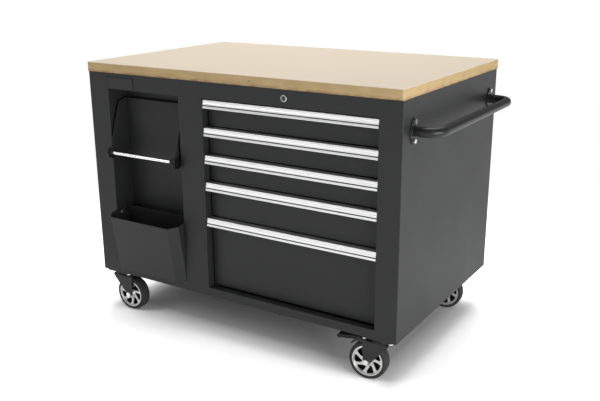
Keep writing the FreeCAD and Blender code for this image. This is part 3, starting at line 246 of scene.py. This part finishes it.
def drawn_grip(name, colour, groove_painted_shade_colour):
    """Anodised extrusion: faint die lines along it, and painted shade laid in the groove along its face."""
    tree = Tree(name)
    lines = tree.noise(700.0, 3.0, stretch=(0.004, 1.0, 1.0))
    cloud = tree.noise(5.0, 3.0)
    soft = tree.edge(0.5 * MM)[0]
    base = tree.mix(tree.ramp(lines, 0.3, 0.7), lighter(colour, 0.97), lighter(colour, 1.02))
    base = tree.mix(tree.ramp(cloud, 0.4, 0.7, 0.0, 0.12), base, lighter(colour, 0.9))
    # Painted shade: the band of the face that lies in the groove is coloured dark for the shade that falls
    # into it.
    spot = tree.add("ShaderNodeSeparateXYZ", Vector=tree.add("ShaderNodeTexCoord").outputs["Generated"])
    above = tree.ramp(spot.outputs["Z"], 0.270, 0.285)
    below = tree.ramp(spot.outputs["Z"], 0.405, 0.390)
    ahead = tree.ramp(spot.outputs["Y"], 0.20, 0.14)
    groove = tree.math("MULTIPLY", tree.math("MULTIPLY", above, below), ahead)
    tree.feed(tree.shader.inputs["Base Color"], tree.mix(groove, base, rgba(groove_painted_shade_colour)))
    tree.shader.inputs["Metallic"].default_value = 1.0
    tree.feed(tree.shader.inputs["Roughness"], tree.ramp(lines, 0.3, 0.7, 0.36, 0.44))
    tree.feed(tree.shader.inputs["Normal"], tree.bump(lines, 0.10, 0.03 * MM, soft))
    return tree.material


def cast_rim(name, face_colour, pocket_colour):
    """Two-tone casting: turned bright faces, dark paint left in the pockets and windows."""
    tree = Tree(name)
    own_normal = tree.add("ShaderNodeTexCoord").outputs["Normal"]
    across = tree.add("ShaderNodeSeparateXYZ", Vector=own_normal).outputs["Y"]
    turned = tree.ramp(tree.math("ABSOLUTE", across), 0.16, 0.30)
    grain = tree.noise(520.0, 4.0)
    cast = tree.noise(900.0, 3.0)
    soft, wear = tree.edge(0.5 * MM)
    face = tree.mix(tree.ramp(grain, 0.3, 0.7), lighter(face_colour, 0.95), lighter(face_colour, 1.05))
    pocket = tree.mix(cast, lighter(pocket_colour, 0.8), lighter(pocket_colour, 1.3))
    bare = tree.math("MAXIMUM", turned, tree.math("MULTIPLY", wear, 0.35))
    tree.feed(tree.shader.inputs["Base Color"], tree.mix(bare, pocket, face))
    tree.feed(tree.shader.inputs["Metallic"], bare)
    tree.feed(tree.shader.inputs["Roughness"], tree.ramp(bare, 0.0, 1.0, 0.55, 0.36))
    tree.feed(tree.shader.inputs["Normal"], tree.bump(cast, 0.16, 0.06 * MM, soft))
    return tree.material


def plastic(name, colour, roughness, texture=0.25):
    """Moulded plastic with a spark-eroded texture."""
    tree = Tree(name)
    stipple = tree.noise(1900.0, 2.0)
    cloud = tree.noise(45.0, 3.0)
    soft, wear = tree.edge(0.6 * MM)
    base = tree.mix(cloud, lighter(colour, 0.85), lighter(colour, 1.2))
    tree.feed(tree.shader.inputs["Base Color"], tree.mix(tree.math("MULTIPLY", wear, 0.5), base,
                                                         lighter(colour, 2.2)))
    tree.feed(tree.shader.inputs["Roughness"], tree.ramp(cloud, 0.3, 0.7, roughness - 0.05, roughness + 0.07))
    tree.feed(tree.shader.inputs["Normal"], tree.bump(stipple, texture, 0.05 * MM, soft))
    tree.shader.inputs["Specular IOR Level"].default_value = 0.28
    return tree.material


def rubber(name, colour):
    """Solid grey-black rubber with moulding marks and floor dust on the tread."""
    tree = Tree(name)
    crumb = tree.noise(750.0, 4.0)
    cloud = tree.noise(60.0, 4.0)
    base = tree.mix(cloud, lighter(colour, 0.8), lighter(colour, 1.25))
    dust = tree.ramp(tree.noise(120.0, 5.0), 0.52, 0.78, 0.0, 0.30)
    tree.feed(tree.shader.inputs["Base Color"], tree.mix(dust, base, lighter(colour, 2.6)))
    tree.feed(tree.shader.inputs["Roughness"], tree.ramp(crumb, 0.3, 0.7, 0.62, 0.80))
    tree.feed(tree.shader.inputs["Normal"], tree.bump(crumb, 0.30, 0.10 * MM))
    tree.shader.inputs["Specular IOR Level"].default_value = 0.35
    return tree.material


MADE = {}


def finish(key):
    """The shared material for one finish, made the first time it is asked for."""
    if key not in MADE:
        colours = bpy.context.scene.workbench_finish
        makers = {
            "cabinet": lambda: powder_coat("cabinet_powder_coat", colours.cabinet_colour, 0.46),
            "drawer": lambda: powder_coat("drawer_powder_coat", colours.drawer_colour, 0.46),
            "handle": lambda: powder_coat("handle_powder_coat", colours.handle_colour, 0.34, 1.6),
            "badge": lambda: powder_coat("badge_enamel", colours.badge_colour, 0.38, 2.0),
            "fork": lambda: powder_coat("fork_coating", colours.fork_colour, 0.40, 1.4),
            "board": lambda: board_top("pressed_board", colours.board_face, colours.board_edge,
                                       colours.board_stain),
            "grip": lambda: drawn_grip("anodised_extrusion", colours.grip_colour, colours.groove_painted_shade_colour),
            "zinc": lambda: metal("zinc_plate", colours.zinc_colour, 0.30, 700.0, (1.0, 1.0, 1.0)),
            "chrome": lambda: metal("bright_chrome", colours.chrome_colour, 0.22, 900.0, (0.004, 1.0, 1.0),
                                    0.01, 0.02),
            "rim": lambda: cast_rim("two_tone_rim", colours.rim_colour, colours.pocket_colour),
            "bright": lambda: metal("bright_zinc", colours.bright_colour, 0.26, 700.0, (1.0, 1.0, 1.0),
                                    0.03, 0.1),
            "nickel": lambda: metal("dull_nickel", colours.nickel_colour, 0.30, 700.0, (1.0, 1.0, 1.0)),
            "core": lambda: metal("lock_core_metal", colours.core_colour, 0.34, 700.0, (1.0, 1.0, 1.0)),
            "tyre": lambda: rubber("tyre_rubber", colours.tyre_colour),
            "plastic": lambda: plastic("black_moulding", colours.plastic_colour, 0.36),
        }
        MADE[key] = makers[key]()
    return MADE[key]


def dress(node, key):
    """Give a carried-over node one finish."""
    mesh = NODES[node].data
    mesh.materials.clear()
    mesh.materials.append(finish(key))


class FinishSettings(bpy.types.PropertyGroup):
    """Colours of the finishes, as linear values."""

    cabinet_colour: bpy.props.FloatVectorProperty(
        name="Cabinet", description="Powder coat of the cabinet's sheets",
        subtype="COLOR", size=3, default=(0.0215, 0.0220, 0.0230))
    drawer_colour: bpy.props.FloatVectorProperty(
        name="Drawers", description="Powder coat of the drawer fronts and boxes",
        subtype="COLOR", size=3, default=(0.0205, 0.0210, 0.0220))
    handle_colour: bpy.props.FloatVectorProperty(
        name="Push handle", description="Coating of the bent tube",
        subtype="COLOR", size=3, default=(0.0150, 0.0155, 0.0165))
    badge_colour: bpy.props.FloatVectorProperty(
        name="Badge plate", description="Enamel of the bare plate over the niche",
        subtype="COLOR", size=3, default=(0.0230, 0.0235, 0.0250))
    fork_colour: bpy.props.FloatVectorProperty(
        name="Forks", description="Coating of the caster forks",
        subtype="COLOR", size=3, default=(0.0230, 0.0230, 0.0240))
    board_face: bpy.props.FloatVectorProperty(
        name="Board face", description="Pale face of the worktop",
        subtype="COLOR", size=3, default=(0.79, 0.68, 0.54))
    board_edge: bpy.props.FloatVectorProperty(
        name="Board edge", description="Tan edge of the worktop",
        subtype="COLOR", size=3, default=(0.589, 0.422, 0.213))
    board_stain: bpy.props.FloatVectorProperty(
        name="Board stain", description="Reddish brown along the lower arris of the edge",
        subtype="COLOR", size=3, default=(0.27, 0.13, 0.055))
    grip_colour: bpy.props.FloatVectorProperty(
        name="Grips", description="Anodised aluminium of the drawer grips",
        subtype="COLOR", size=3, default=(0.92, 0.92, 0.92))
    # Painted shade: a dark colour laid in each grip's groove for the shade inside it.
    groove_painted_shade_colour: bpy.props.FloatVectorProperty(
        name="Grip groove", description="Shade inside the groove along each grip",
        subtype="COLOR", size=3, default=(0.06, 0.06, 0.06))
    zinc_colour: bpy.props.FloatVectorProperty(
        name="Zinc", description="Plating of the runners and the worktop's screws",
        subtype="COLOR", size=3, default=(0.70, 0.71, 0.72))
    nickel_colour: bpy.props.FloatVectorProperty(
        name="Lock ring", description="Dull plating of the lock's ring",
        subtype="COLOR", size=3, default=(0.56, 0.57, 0.58))
    chrome_colour: bpy.props.FloatVectorProperty(
        name="Rod", description="Bright plating of the paper roll rod",
        subtype="COLOR", size=3, default=(0.97, 0.97, 0.97))
    rim_colour: bpy.props.FloatVectorProperty(
        name="Rims", description="Cast metal of the wheel rims",
        subtype="COLOR", size=3, default=(0.70, 0.70, 0.69))
    pocket_colour: bpy.props.FloatVectorProperty(
        name="Rim pockets", description="Dark paint left between the spokes",
        subtype="COLOR", size=3, default=(0.006, 0.006, 0.006))
    bright_colour: bpy.props.FloatVectorProperty(
        name="Bright zinc", description="Plating of axles, caster bolts, handle bolts and bin screws",
        subtype="COLOR", size=3, default=(0.92, 0.92, 0.92))
    core_colour: bpy.props.FloatVectorProperty(
        name="Lock core", description="Darker metal inside the lock's ring",
        subtype="COLOR", size=3, default=(0.09, 0.09, 0.095))
    tyre_colour: bpy.props.FloatVectorProperty(
        name="Tyres", description="Rubber of the tyres",
        subtype="COLOR", size=3, default=(0.028, 0.028, 0.029))
    # The badge frame in this black is a painted shadow; the knobs, pedals, collar and rim cores are black
    # moulding.
    plastic_colour: bpy.props.FloatVectorProperty(
        name="Plastic", description="Black moulding of knobs, pedals, collar, badge gasket and rim cores",
        subtype="COLOR", size=3, default=(0.0045, 0.0045, 0.0050))


class SizeSettings(bpy.types.PropertyGroup):
    """Sizes of the pieces that are added to the frame."""

    flange_thick: bpy.props.FloatProperty(
        name="Flange", description="Thickness of the handle's flanges",
        subtype="DISTANCE", unit="LENGTH", default=3.5 * MM)
    flange_reach: bpy.props.FloatProperty(
        name="Flange reach", description="From the flange's edge to the tube's axis",
        subtype="DISTANCE", unit="LENGTH", default=27.0 * MM)
    tube_radius: bpy.props.FloatProperty(
        name="Tube", description="Outer radius of the handle's tube",
        subtype="DISTANCE", unit="LENGTH", default=15.0 * MM)
    bead_radius: bpy.props.FloatProperty(
        name="Weld bead", description="Half the width of the weld bead",
        subtype="DISTANCE", unit="LENGTH", default=1.8 * MM)
    arm_sheet: bpy.props.FloatProperty(
        name="Arm", description="Thickness of the roll holder's arms",
        subtype="DISTANCE", unit="LENGTH", default=2.0 * MM)
    collar_gap: bpy.props.FloatProperty(
        name="Collar gap", description="Play between the collar and the arm",
        subtype="DISTANCE", unit="LENGTH", default=0.5 * MM)
    collar_radius: bpy.props.FloatProperty(
        name="Collar", description="Radius of the stop collar on the rod",
        subtype="DISTANCE", unit="LENGTH", default=9.5 * MM)
    collar_length: bpy.props.FloatProperty(
        name="Collar length", description="Length of the stop collar along the rod",
        subtype="DISTANCE", unit="LENGTH", default=22.0 * MM)
    collar_soft: bpy.props.FloatProperty(
        name="Collar edge", description="Softening of the collar's edges",
        subtype="DISTANCE", unit="LENGTH", default=1.2 * MM)
    # Painted shadow: the black frame round the badge plate stands for the shade line round it, not a gasket.
    shadow_frame_width: bpy.props.FloatProperty(
        name="Badge seam", description="Width of the dark gasket round the badge plate",
        subtype="DISTANCE", unit="LENGTH", default=3.5 * MM)
    shadow_frame_rise: bpy.props.FloatProperty(
        name="Badge seam rise", description="How far the gasket stands out from the sheet",
        subtype="DISTANCE", unit="LENGTH", default=0.6 * MM)
    core_outer: bpy.props.FloatProperty(
        name="Rim core", description="Outer radius of the dark core behind the rim's windows",
        subtype="DISTANCE", unit="LENGTH", default=44.3 * MM)
    core_inner: bpy.props.FloatProperty(
        name="Rim core bore", description="Inner radius of the core, inside the rim's hub",
        subtype="DISTANCE", unit="LENGTH", default=18.7 * MM)
    core_thick: bpy.props.FloatProperty(
        name="Rim core thickness", description="Thickness of the core at the middle of the wheel",
        subtype="DISTANCE", unit="LENGTH", default=4.0 * MM)
    rivet_radius: bpy.props.FloatProperty(
        name="Rivet", description="Radius of a rivet head on the back sheet",
        subtype="DISTANCE", unit="LENGTH", default=4.0 * MM)
    rivet_rise: bpy.props.FloatProperty(
        name="Rivet rise", description="How far a rivet head stands out",
        subtype="DISTANCE", unit="LENGTH", default=1.2 * MM)
    rivet_inset: bpy.props.FloatProperty(
        name="Rivet inset", description="From the back sheet's edge to the rivets",
        subtype="DISTANCE", unit="LENGTH", default=9.0 * MM)
    rivet_spacing: bpy.props.FloatProperty(
        name="Rivet spacing", description="About how far apart the rivets are",
        subtype="DISTANCE", unit="LENGTH", default=145.0 * MM)


class StageSettings(bpy.types.PropertyGroup):
    """Camera, lamps and floor."""

    camera_place: bpy.props.FloatVectorProperty(
        name="Camera place", description="Where the camera stands",
        subtype="TRANSLATION", unit="LENGTH", size=3, default=(1.45534, -2.32207, 1.25618))
    camera_turn: bpy.props.FloatProperty(
        name="Turn", description="How far the camera is turned to the left of straight ahead",
        subtype="ANGLE", default=math.radians(31.98))
    camera_dip: bpy.props.FloatProperty(
        name="Dip", description="How far the camera looks down",
        subtype="ANGLE", default=math.radians(16.96))
    camera_roll: bpy.props.FloatProperty(
        name="Roll", description="Tilt of the camera about its own axis",
        subtype="ANGLE", default=math.radians(-0.258))
    lens: bpy.props.FloatProperty(
        name="Lens", description="Focal length for a 36 mm wide frame", default=47.89)
    shift: bpy.props.FloatProperty(
        name="Shift", description="Small sideways shift of the picture", default=-0.0039)
    key_power: bpy.props.FloatProperty(
        name="Key lamp", description="Power of the large lamp at the front left",
        subtype="POWER", default=51.0)
    top_power: bpy.props.FloatProperty(
        name="Top lamp", description="Power of the large lamp overhead",
        subtype="POWER", default=94.0)
    side_power: bpy.props.FloatProperty(
        name="Side lamp", description="Power of the large low lamp at the right",
        subtype="POWER", default=68.0)
    low_power: bpy.props.FloatProperty(
        name="Low lamp", description="Power of the low lamp in front",
        subtype="POWER", default=4.5)
    fill: bpy.props.FloatProperty(
        name="Fill", description="Strength of the surrounding light", default=0.20)
    # Painted shadow: the floor's colour to the camera is darker under the bench and paler beyond its
    # footprint, set by Floor beyond, Floor beneath, Shade inside and Shade outside.
    floor_lit: bpy.props.FloatProperty(
        name="Floor beyond", description="Shade of the floor to the camera beyond the footprint",
        default=2.05)
    floor_painted_shadow: bpy.props.FloatProperty(
        name="Floor beneath", description="Shade of the floor to the camera under the bench", default=0.80)
    floor_mirrored: bpy.props.FloatProperty(
        name="Floor mirrored", description="Shade of the floor in reflections", default=1.45)
    painted_shadow_inside: bpy.props.FloatProperty(
        name="Shade inside", description="How far inside the footprint the darker shade ends",
        subtype="DISTANCE", unit="LENGTH", default=0.10)
    painted_shadow_outside: bpy.props.FloatProperty(
        name="Shade outside", description="How far outside the footprint the paler shade begins",
        subtype="DISTANCE", unit="LENGTH", default=0.03)


def smooth_by_angle(piece, degrees=32.0):
    """Shade a mesh smooth with sharp edges where the faces turn."""
    mesh = bmesh.new()
    mesh.from_mesh(piece.data)
    for face in mesh.faces:
        face.smooth = True
    for edge in mesh.edges:
        edge.smooth = len(edge.link_faces) == 2 and edge.calc_face_angle(0.0) < math.radians(degrees)
    mesh.to_mesh(piece.data)
    mesh.free()


def new_piece(name, mesh, key, body):
    """Turn a bmesh into a finished piece that rides on a body."""
    data = bpy.data.meshes.new(name)
    bmesh.ops.recalc_face_normals(mesh, faces=mesh.faces)
    mesh.to_mesh(data)
    mesh.free()
    piece = bpy.data.objects.new(name, data)
    bpy.context.scene.collection.objects.link(piece)
    data.materials.append(finish(key))
    smooth_by_angle(piece)
    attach(piece, body)
    return piece


def add_bead(mesh, centre, ring_radius, bead_radius):
    """A ring of weld about the x axis, slightly rippled along its length."""
    around, across = 72, 8
    rows = []
    for step in range(around):
        turn = 2.0 * math.pi * step / around
        ripple = bead_radius * (1.0 + 0.10 * math.sin(18.0 * turn))
        row = []
        for part in range(across):
            lean = 2.0 * math.pi * part / across
            reach = ring_radius + ripple * math.cos(lean)
            row.append(mesh.verts.new(centre + Vector((ripple * math.sin(lean),
                                                       reach * math.cos(turn), reach * math.sin(turn)))))
        rows.append(row)
    for step in range(around):
        first, second = rows[step], rows[(step + 1) % around]
        for part in range(across):
            beside = (part + 1) % across
            mesh.faces.new((first[part], first[beside], second[beside], second[part]))


def add_turned(mesh, start, profile, around=48):
    """A closed ring turned about the x axis, from offsets towards -x and radii."""
    rows = []
    for step in range(around):
        turn = 2.0 * math.pi * step / around
        rows.append([mesh.verts.new(start + Vector((-offset, radius * math.cos(turn),
                                                    radius * math.sin(turn))))
                     for offset, radius in profile])
    for step in range(around):
        first, second = rows[step], rows[(step + 1) % around]
        for part in range(len(profile)):
            beside = (part + 1) % len(profile)
            mesh.faces.new((first[part], first[beside], second[beside], second[part]))


def add_frame(mesh, low, high, width, face, rise):
    """A flat frame round an upright rectangle, standing out from a face towards the front."""
    (x0, z0), (x1, z1) = low, high
    rows = []
    for x, z, across, up in ((x0, z0, -1, -1), (x1, z0, 1, -1), (x1, z1, 1, 1), (x0, z1, -1, 1)):
        outer = (x + across * width, z + up * width)
        rows.append([mesh.verts.new((place[0], depth, place[1]))
                     for place, depth in ((outer, face), (outer, face - rise), ((x, z), face - rise),
                                          ((x, z), face))])
    for step in range(4):
        first, second = rows[step], rows[(step + 1) % 4]
        for part in range(4):
            beside = (part + 1) % 4
            mesh.faces.new((first[part], first[beside], second[beside], second[part]))


def add_rivet(mesh, centre, radius, rise):
    """A low domed rivet head that stands out towards the back."""
    around, rings = 16, 4
    crown = mesh.verts.new(centre + Vector((0.0, rise, 0.0)))
    rows = []
    for ring in range(1, rings + 1):
        lean = math.pi / 2.0 * ring / rings
        reach, out = radius * math.sin(lean), rise * math.cos(lean)
        rows.append([mesh.verts.new(centre + Vector((reach * math.cos(2.0 * math.pi * k / around), out,
                                                     reach * math.sin(2.0 * math.pi * k / around))))
                     for k in range(around)])
    for k in range(around):
        beside = (k + 1) % around
        mesh.faces.new((crown, rows[0][k], rows[0][beside]))
        for inner, outer in zip(rows, rows[1:]):
            mesh.faces.new((inner[k], outer[k], outer[beside], inner[beside]))


class WORKBENCH_OT_worktop(bpy.types.Operator):
    """Finish the worktop board"""

    bl_idname = "workbench.worktop"
    bl_label = "Worktop"

    def execute(self, context):
        dress("worktop", "board")
        return {"FINISHED"}


class WORKBENCH_OT_cabinet(bpy.types.Operator):
    """Finish the cabinet's sheets and the bare badge plate"""

    bl_idname = "workbench.cabinet"
    bl_label = "Cabinet"

    def execute(self, context):
        for node in SHEET_METAL:
            dress(node, "cabinet")
        dress("badge_plate", "badge")
        # Painted shadow: a black frame round the badge plate.
        self.frame_badge_painted_shadow()
        self.rivet_back()
        return {"FINISHED"}

    def frame_badge_painted_shadow(self):
        """A thin black frame round the badge plate, standing a little proud of the sheet: a painted shadow
        for the shade line round the plate.
        """
        sizes = bpy.context.scene.workbench_sizes
        low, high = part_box("badge_plate")
        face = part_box("left_fascia")[0][1]
        mesh = bmesh.new()
        add_frame(mesh, (low[0], low[2]), (high[0], high[2]), sizes.shadow_frame_width, face, sizes.shadow_frame_rise)
        new_piece("badge_seam", mesh, "plastic", "cabinet")

    def rivet_back(self):
        """A row of rivets along each edge of the back sheet."""
        sizes = bpy.context.scene.workbench_sizes
        low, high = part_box("back_panel")
        inset = sizes.rivet_inset
        x0, x1, z0, z1 = low[0] + inset, high[0] - inset, low[2] + inset, high[2] - inset
        mesh = bmesh.new()
        spots = []
        columns = round((x1 - x0) / sizes.rivet_spacing)
        rows = round((z1 - z0) / sizes.rivet_spacing)
        for step in range(columns + 1):
            x = x0 + (x1 - x0) * step / columns
            spots += [(x, z0), (x, z1)]
        for step in range(1, rows):
            z = z0 + (z1 - z0) * step / rows
            spots += [(x0, z), (x1, z)]
        for x, z in spots:
            add_rivet(mesh, Vector((x, high[1], z)), sizes.rivet_radius, sizes.rivet_rise)
        new_piece("back_rivets", mesh, "cabinet", "cabinet")


class WORKBENCH_OT_drawers(bpy.types.Operator):
    """Finish the drawers, their grips and their runners"""

    bl_idname = "workbench.drawers"
    bl_label = "Drawers"

    def execute(self, context):
        for number in range(1, DRAWER_COUNT + 1):
            dress("drawer_%d_tray" % number, "drawer")
            dress("drawer_%d_grip" % number, "grip")
            dress("drawer_%d_middle_rails" % number, "zinc")
        dress("fixed_rails", "zinc")
        return {"FINISHED"}


class WORKBENCH_OT_fittings(bpy.types.Operator):
    """Finish the handle, lock, roll holder and fasteners"""

    bl_idname = "workbench.fittings"
    bl_label = "Fittings"

    def execute(self, context):
        dress("push_handle", "handle")
        dress("worktop_screws", "zinc")
        dress("lock_core", "core")
        dress("lock_housing", "nickel")
        for node in ("handle_bolts", "bin_screws"):
            dress(node, "bright")
        self.weld_handle()
        self.collar_rod()
        dress("roll_rod", "chrome")
        for node in ("roll_knob_left", "roll_knob_right"):
            dress(node, "plastic")
        return {"FINISHED"}

    def weld_handle(self):
        """A weld bead where the tube meets each flange."""
        low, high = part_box("push_handle")
        sizes = bpy.context.scene.workbench_sizes
        x = low[0] + sizes.flange_thick
        z = (low[2] + high[2]) / 2.0
        mesh = bmesh.new()
        for y in (low[1] + sizes.flange_reach, high[1] - sizes.flange_reach):
            add_bead(mesh, Vector((x, y, z)), sizes.tube_radius + BEAD_LIFT, sizes.bead_radius)
        new_piece("handle_weld_beads", mesh, "handle", "cabinet")

    def collar_rod(self):
        """The black stop that keeps the roll off the right arm."""
        sizes = bpy.context.scene.workbench_sizes
        low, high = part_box("roll_rod")
        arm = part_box("roll_bracket")[1][0] - sizes.arm_sheet - sizes.collar_gap
        y, z = (low[1] + high[1]) / 2.0, (low[2] + high[2]) / 2.0
        bore = (high[2] - low[2]) / 2.0
        outer = sizes.collar_radius
        soft = sizes.collar_soft
        profile = [(0.0, bore), (0.0, outer - soft), (soft, outer), (sizes.collar_length - 3.0 * soft, outer),
                   (sizes.collar_length, outer - 2.0 * soft), (sizes.collar_length, bore)]
        mesh = bmesh.new()
        add_turned(mesh, Vector((arm, y, z)), profile)
        new_piece("roll_stop_collar", mesh, "plastic", "roll_spindle")


class WORKBENCH_OT_casters(bpy.types.Operator):
    """Finish the casters"""

    bl_idname = "workbench.casters"
    bl_label = "Casters"

    def execute(self, context):
        dress("caster_plates", "fork")
        dress("caster_bolts", "bright")
        for corner in CORNERS:
            dress(corner + "_fork", "fork")
            dress(corner + "_axle", "bright")
            dress(corner + "_rim", "rim")
            dress(corner + "_tyre", "tyre")
        for corner in BRAKED:
            dress(corner + "_pedal", "plastic")
        self.close_rims()
        return {"FINISHED"}

    def close_rims(self):
        """The dark core behind each rim's windows, set on the wheel's own axle line."""
        sizes = bpy.context.scene.workbench_sizes
        half = sizes.core_thick / 2.0
        profile = [(-half, sizes.core_inner), (-half, sizes.core_outer),
                   (half, sizes.core_outer), (half, sizes.core_inner)]
        for joint in frame["joints"]:
            if joint["name"].endswith("_wheel_roll"):
                mesh = bmesh.new()
                add_turned(mesh, Vector((0.0, 0.0, 0.0)), profile, CORE_STEPS)
                turn = Vector((1.0, 0.0, 0.0)).rotation_difference(Vector(joint["axis"]))
                place = Matrix.Translation(Vector(joint["pos_m"])) @ turn.to_matrix().to_4x4()
                bmesh.ops.transform(mesh, matrix=place, verts=mesh.verts)
                new_piece(joint["child"] + "_core", mesh, "plastic", joint["child"])


def stage_plane(name, size, place):
    """A large flat quad."""
    data = bpy.data.meshes.new(name)
    half = size / 2.0
    corners = [(-half, -half, 0.0), (half, -half, 0.0), (half, half, 0.0), (-half, half, 0.0)]
    data.from_pydata(corners, [], [(0, 1, 2, 3)])
    plane = bpy.data.objects.new(name, data)
    plane.location = place
    bpy.context.scene.collection.objects.link(plane)
    return plane


def floor_material(settings):
    """White floor that keeps the soft shadow, with a painted shadow to the camera: darker under the bench's
    footprint and paler beyond it.
    """
    tree = Tree("studio_floor")
    nodes, links = tree.nodes, tree.links
    path = nodes.new("ShaderNodeLightPath")
    seen = tree.math("MAXIMUM", path.outputs["Is Camera Ray"], path.outputs["Is Glossy Ray"])
    plain = tree.add("ShaderNodeBsdfDiffuse", Color=FLOOR_COLOUR)
    low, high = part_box("base_panel")
    spot = tree.add("ShaderNodeSeparateXYZ", Vector=tree.coords)
    beyond = []
    for axis, letter in enumerate("XY"):
        middle, half = (low[axis] + high[axis]) / 2.0, (high[axis] - low[axis]) / 2.0
        from_middle = tree.math("ABSOLUTE", tree.math("SUBTRACT", spot.outputs[letter], middle))
        beyond.append(tree.math("SUBTRACT", from_middle, half))
    # Painted shadow: to the camera the floor's colour grades from dark under the bench to pale just beyond
    # its footprint.
    painted_shadow_grade = tree.ramp(tree.math("MAXIMUM", *beyond), -settings.painted_shadow_inside, settings.painted_shadow_outside,
                       settings.floor_painted_shadow - settings.floor_mirrored,
                       settings.floor_lit - settings.floor_mirrored)
    shade = tree.math("ADD", tree.math("MULTIPLY", path.outputs["Is Camera Ray"], painted_shadow_grade),
                      settings.floor_mirrored)
    bright = tree.add("ShaderNodeBsdfDiffuse", Color=shade)
    away = tree.add("ShaderNodeVectorMath", {"operation": "LENGTH"}, Vector=tree.coords).outputs["Value"]
    white = tree.add("ShaderNodeEmission", Color=(1.0, 1.0, 1.0, 1.0))
    clear = nodes.new("ShaderNodeMixShader")
    links.new(tree.ramp(away, WHITE_FROM, WHITE_TO), clear.inputs[0])
    links.new(bright.outputs[0], clear.inputs[1])
    links.new(white.outputs[0], clear.inputs[2])
    join = nodes.new("ShaderNodeMixShader")
    links.new(seen, join.inputs[0])
    links.new(plain.outputs[0], join.inputs[1])
    links.new(clear.outputs[0], join.inputs[2])
    links.new(join.outputs[0], nodes["Material Output"].inputs["Surface"])
    nodes.remove(tree.shader)
    return tree.material


def set_world(strength):
    """White behind everything that camera and transmission rays see, plain light elsewhere."""
    world = bpy.data.worlds.new("studio")
    world.use_nodes = True
    nodes, links = world.node_tree.nodes, world.node_tree.links
    nodes.clear()
    path = nodes.new("ShaderNodeLightPath")
    seen = nodes.new("ShaderNodeMath")
    seen.operation = "MAXIMUM"
    links.new(path.outputs["Is Camera Ray"], seen.inputs[0])
    links.new(path.outputs["Is Transmission Ray"], seen.inputs[1])
    light = nodes.new("ShaderNodeBackground")
    light.inputs["Color"].default_value = (1.0, 1.0, 1.0, 1.0)
    light.inputs["Strength"].default_value = strength
    white = nodes.new("ShaderNodeBackground")
    white.inputs["Color"].default_value = (1.0, 1.0, 1.0, 1.0)
    white.inputs["Strength"].default_value = 1.0
    join = nodes.new("ShaderNodeMixShader")
    out = nodes.new("ShaderNodeOutputWorld")
    links.new(seen.outputs[0], join.inputs[0])
    links.new(light.outputs[0], join.inputs[1])
    links.new(white.outputs[0], join.inputs[2])
    links.new(join.outputs[0], out.inputs["Surface"])
    bpy.context.scene.world = world


def lamp(name, place, target, size, power):
    data = bpy.data.lights.new(name, "AREA")
    data.shape = "RECTANGLE"
    data.size, data.size_y = size
    data.energy = power
    lamp_object = bpy.data.objects.new(name, data)
    lamp_object.location = place
    aim = Vector(target) - Vector(place)
    lamp_object.rotation_mode = "QUATERNION"
    lamp_object.rotation_quaternion = aim.to_track_quat("-Z", "Y")
    bpy.context.scene.collection.objects.link(lamp_object)
    return lamp_object


class WORKBENCH_OT_stage(bpy.types.Operator):
    """Set up the floor, the lamps, the world and the camera"""

    bl_idname = "workbench.stage"
    bl_label = "Stage"

    def execute(self, context):
        settings = context.scene.workbench_stage
        scene = context.scene
        floor = stage_plane("studio_floor", FLOOR_SIZE, (0.0, 0.0, CAD_LOW[2] - FLOOR_DROP))
        floor.data.materials.append(floor_material(settings))
        set_world(settings.fill)
        for name, place, target, size, power in LAMPS:
            lamp(name, place, target, size, getattr(settings, power))
        data = bpy.data.cameras.new("camera")
        data.sensor_width = 36.0
        data.lens = settings.lens
        data.shift_x = settings.shift
        camera = bpy.data.objects.new("camera", data)
        turn = Matrix.Rotation(settings.camera_turn, 4, "Z")
        dip = Matrix.Rotation(math.pi / 2.0 - settings.camera_dip, 4, "X")
        roll = Matrix.Rotation(settings.camera_roll, 4, "Z")
        camera.matrix_world = Matrix.Translation(Vector(settings.camera_place)) @ turn @ dip @ roll
        scene.collection.objects.link(camera)
        scene.camera = camera
        scene.view_settings.view_transform = "Standard"
        return {"FINISHED"}


OPERATORS = (WORKBENCH_OT_worktop, WORKBENCH_OT_cabinet, WORKBENCH_OT_drawers,
             WORKBENCH_OT_fittings, WORKBENCH_OT_casters, WORKBENCH_OT_stage)


class WORKBENCH_PT_panel(bpy.types.Panel):
    """The workbench's sizes, colours and pieces"""

    bl_idname = "WORKBENCH_PT_panel"
    bl_label = "Workbench"
    bl_space_type = "VIEW_3D"
    bl_region_type = "UI"
    bl_category = "Workbench"

    def draw(self, context):
        scene = context.scene
        for settings in (scene.workbench_finish, scene.workbench_sizes, scene.workbench_stage):
            box = self.layout.box()
            for name in settings.__annotations__:
                box.prop(settings, name)
        for operator in OPERATORS:
            self.layout.operator(operator.bl_idname)


CLASSES = (FinishSettings, SizeSettings, StageSettings) + OPERATORS + (WORKBENCH_PT_panel,)


def register():
    for item in CLASSES:
        bpy.utils.register_class(item)
    bpy.types.Scene.workbench_finish = bpy.props.PointerProperty(type=FinishSettings)
    bpy.types.Scene.workbench_sizes = bpy.props.PointerProperty(type=SizeSettings)
    bpy.types.Scene.workbench_stage = bpy.props.PointerProperty(type=StageSettings)


def unregister():
    del bpy.types.Scene.workbench_stage
    del bpy.types.Scene.workbench_sizes
    del bpy.types.Scene.workbench_finish
    for item in reversed(CLASSES):
        bpy.utils.unregister_class(item)


def main():
    register()
    bpy.ops.workbench.worktop()
    bpy.ops.workbench.cabinet()
    bpy.ops.workbench.drawers()
    bpy.ops.workbench.fittings()
    bpy.ops.workbench.casters()
    bpy.ops.workbench.stage()


if __name__ == "__main__":
    main()
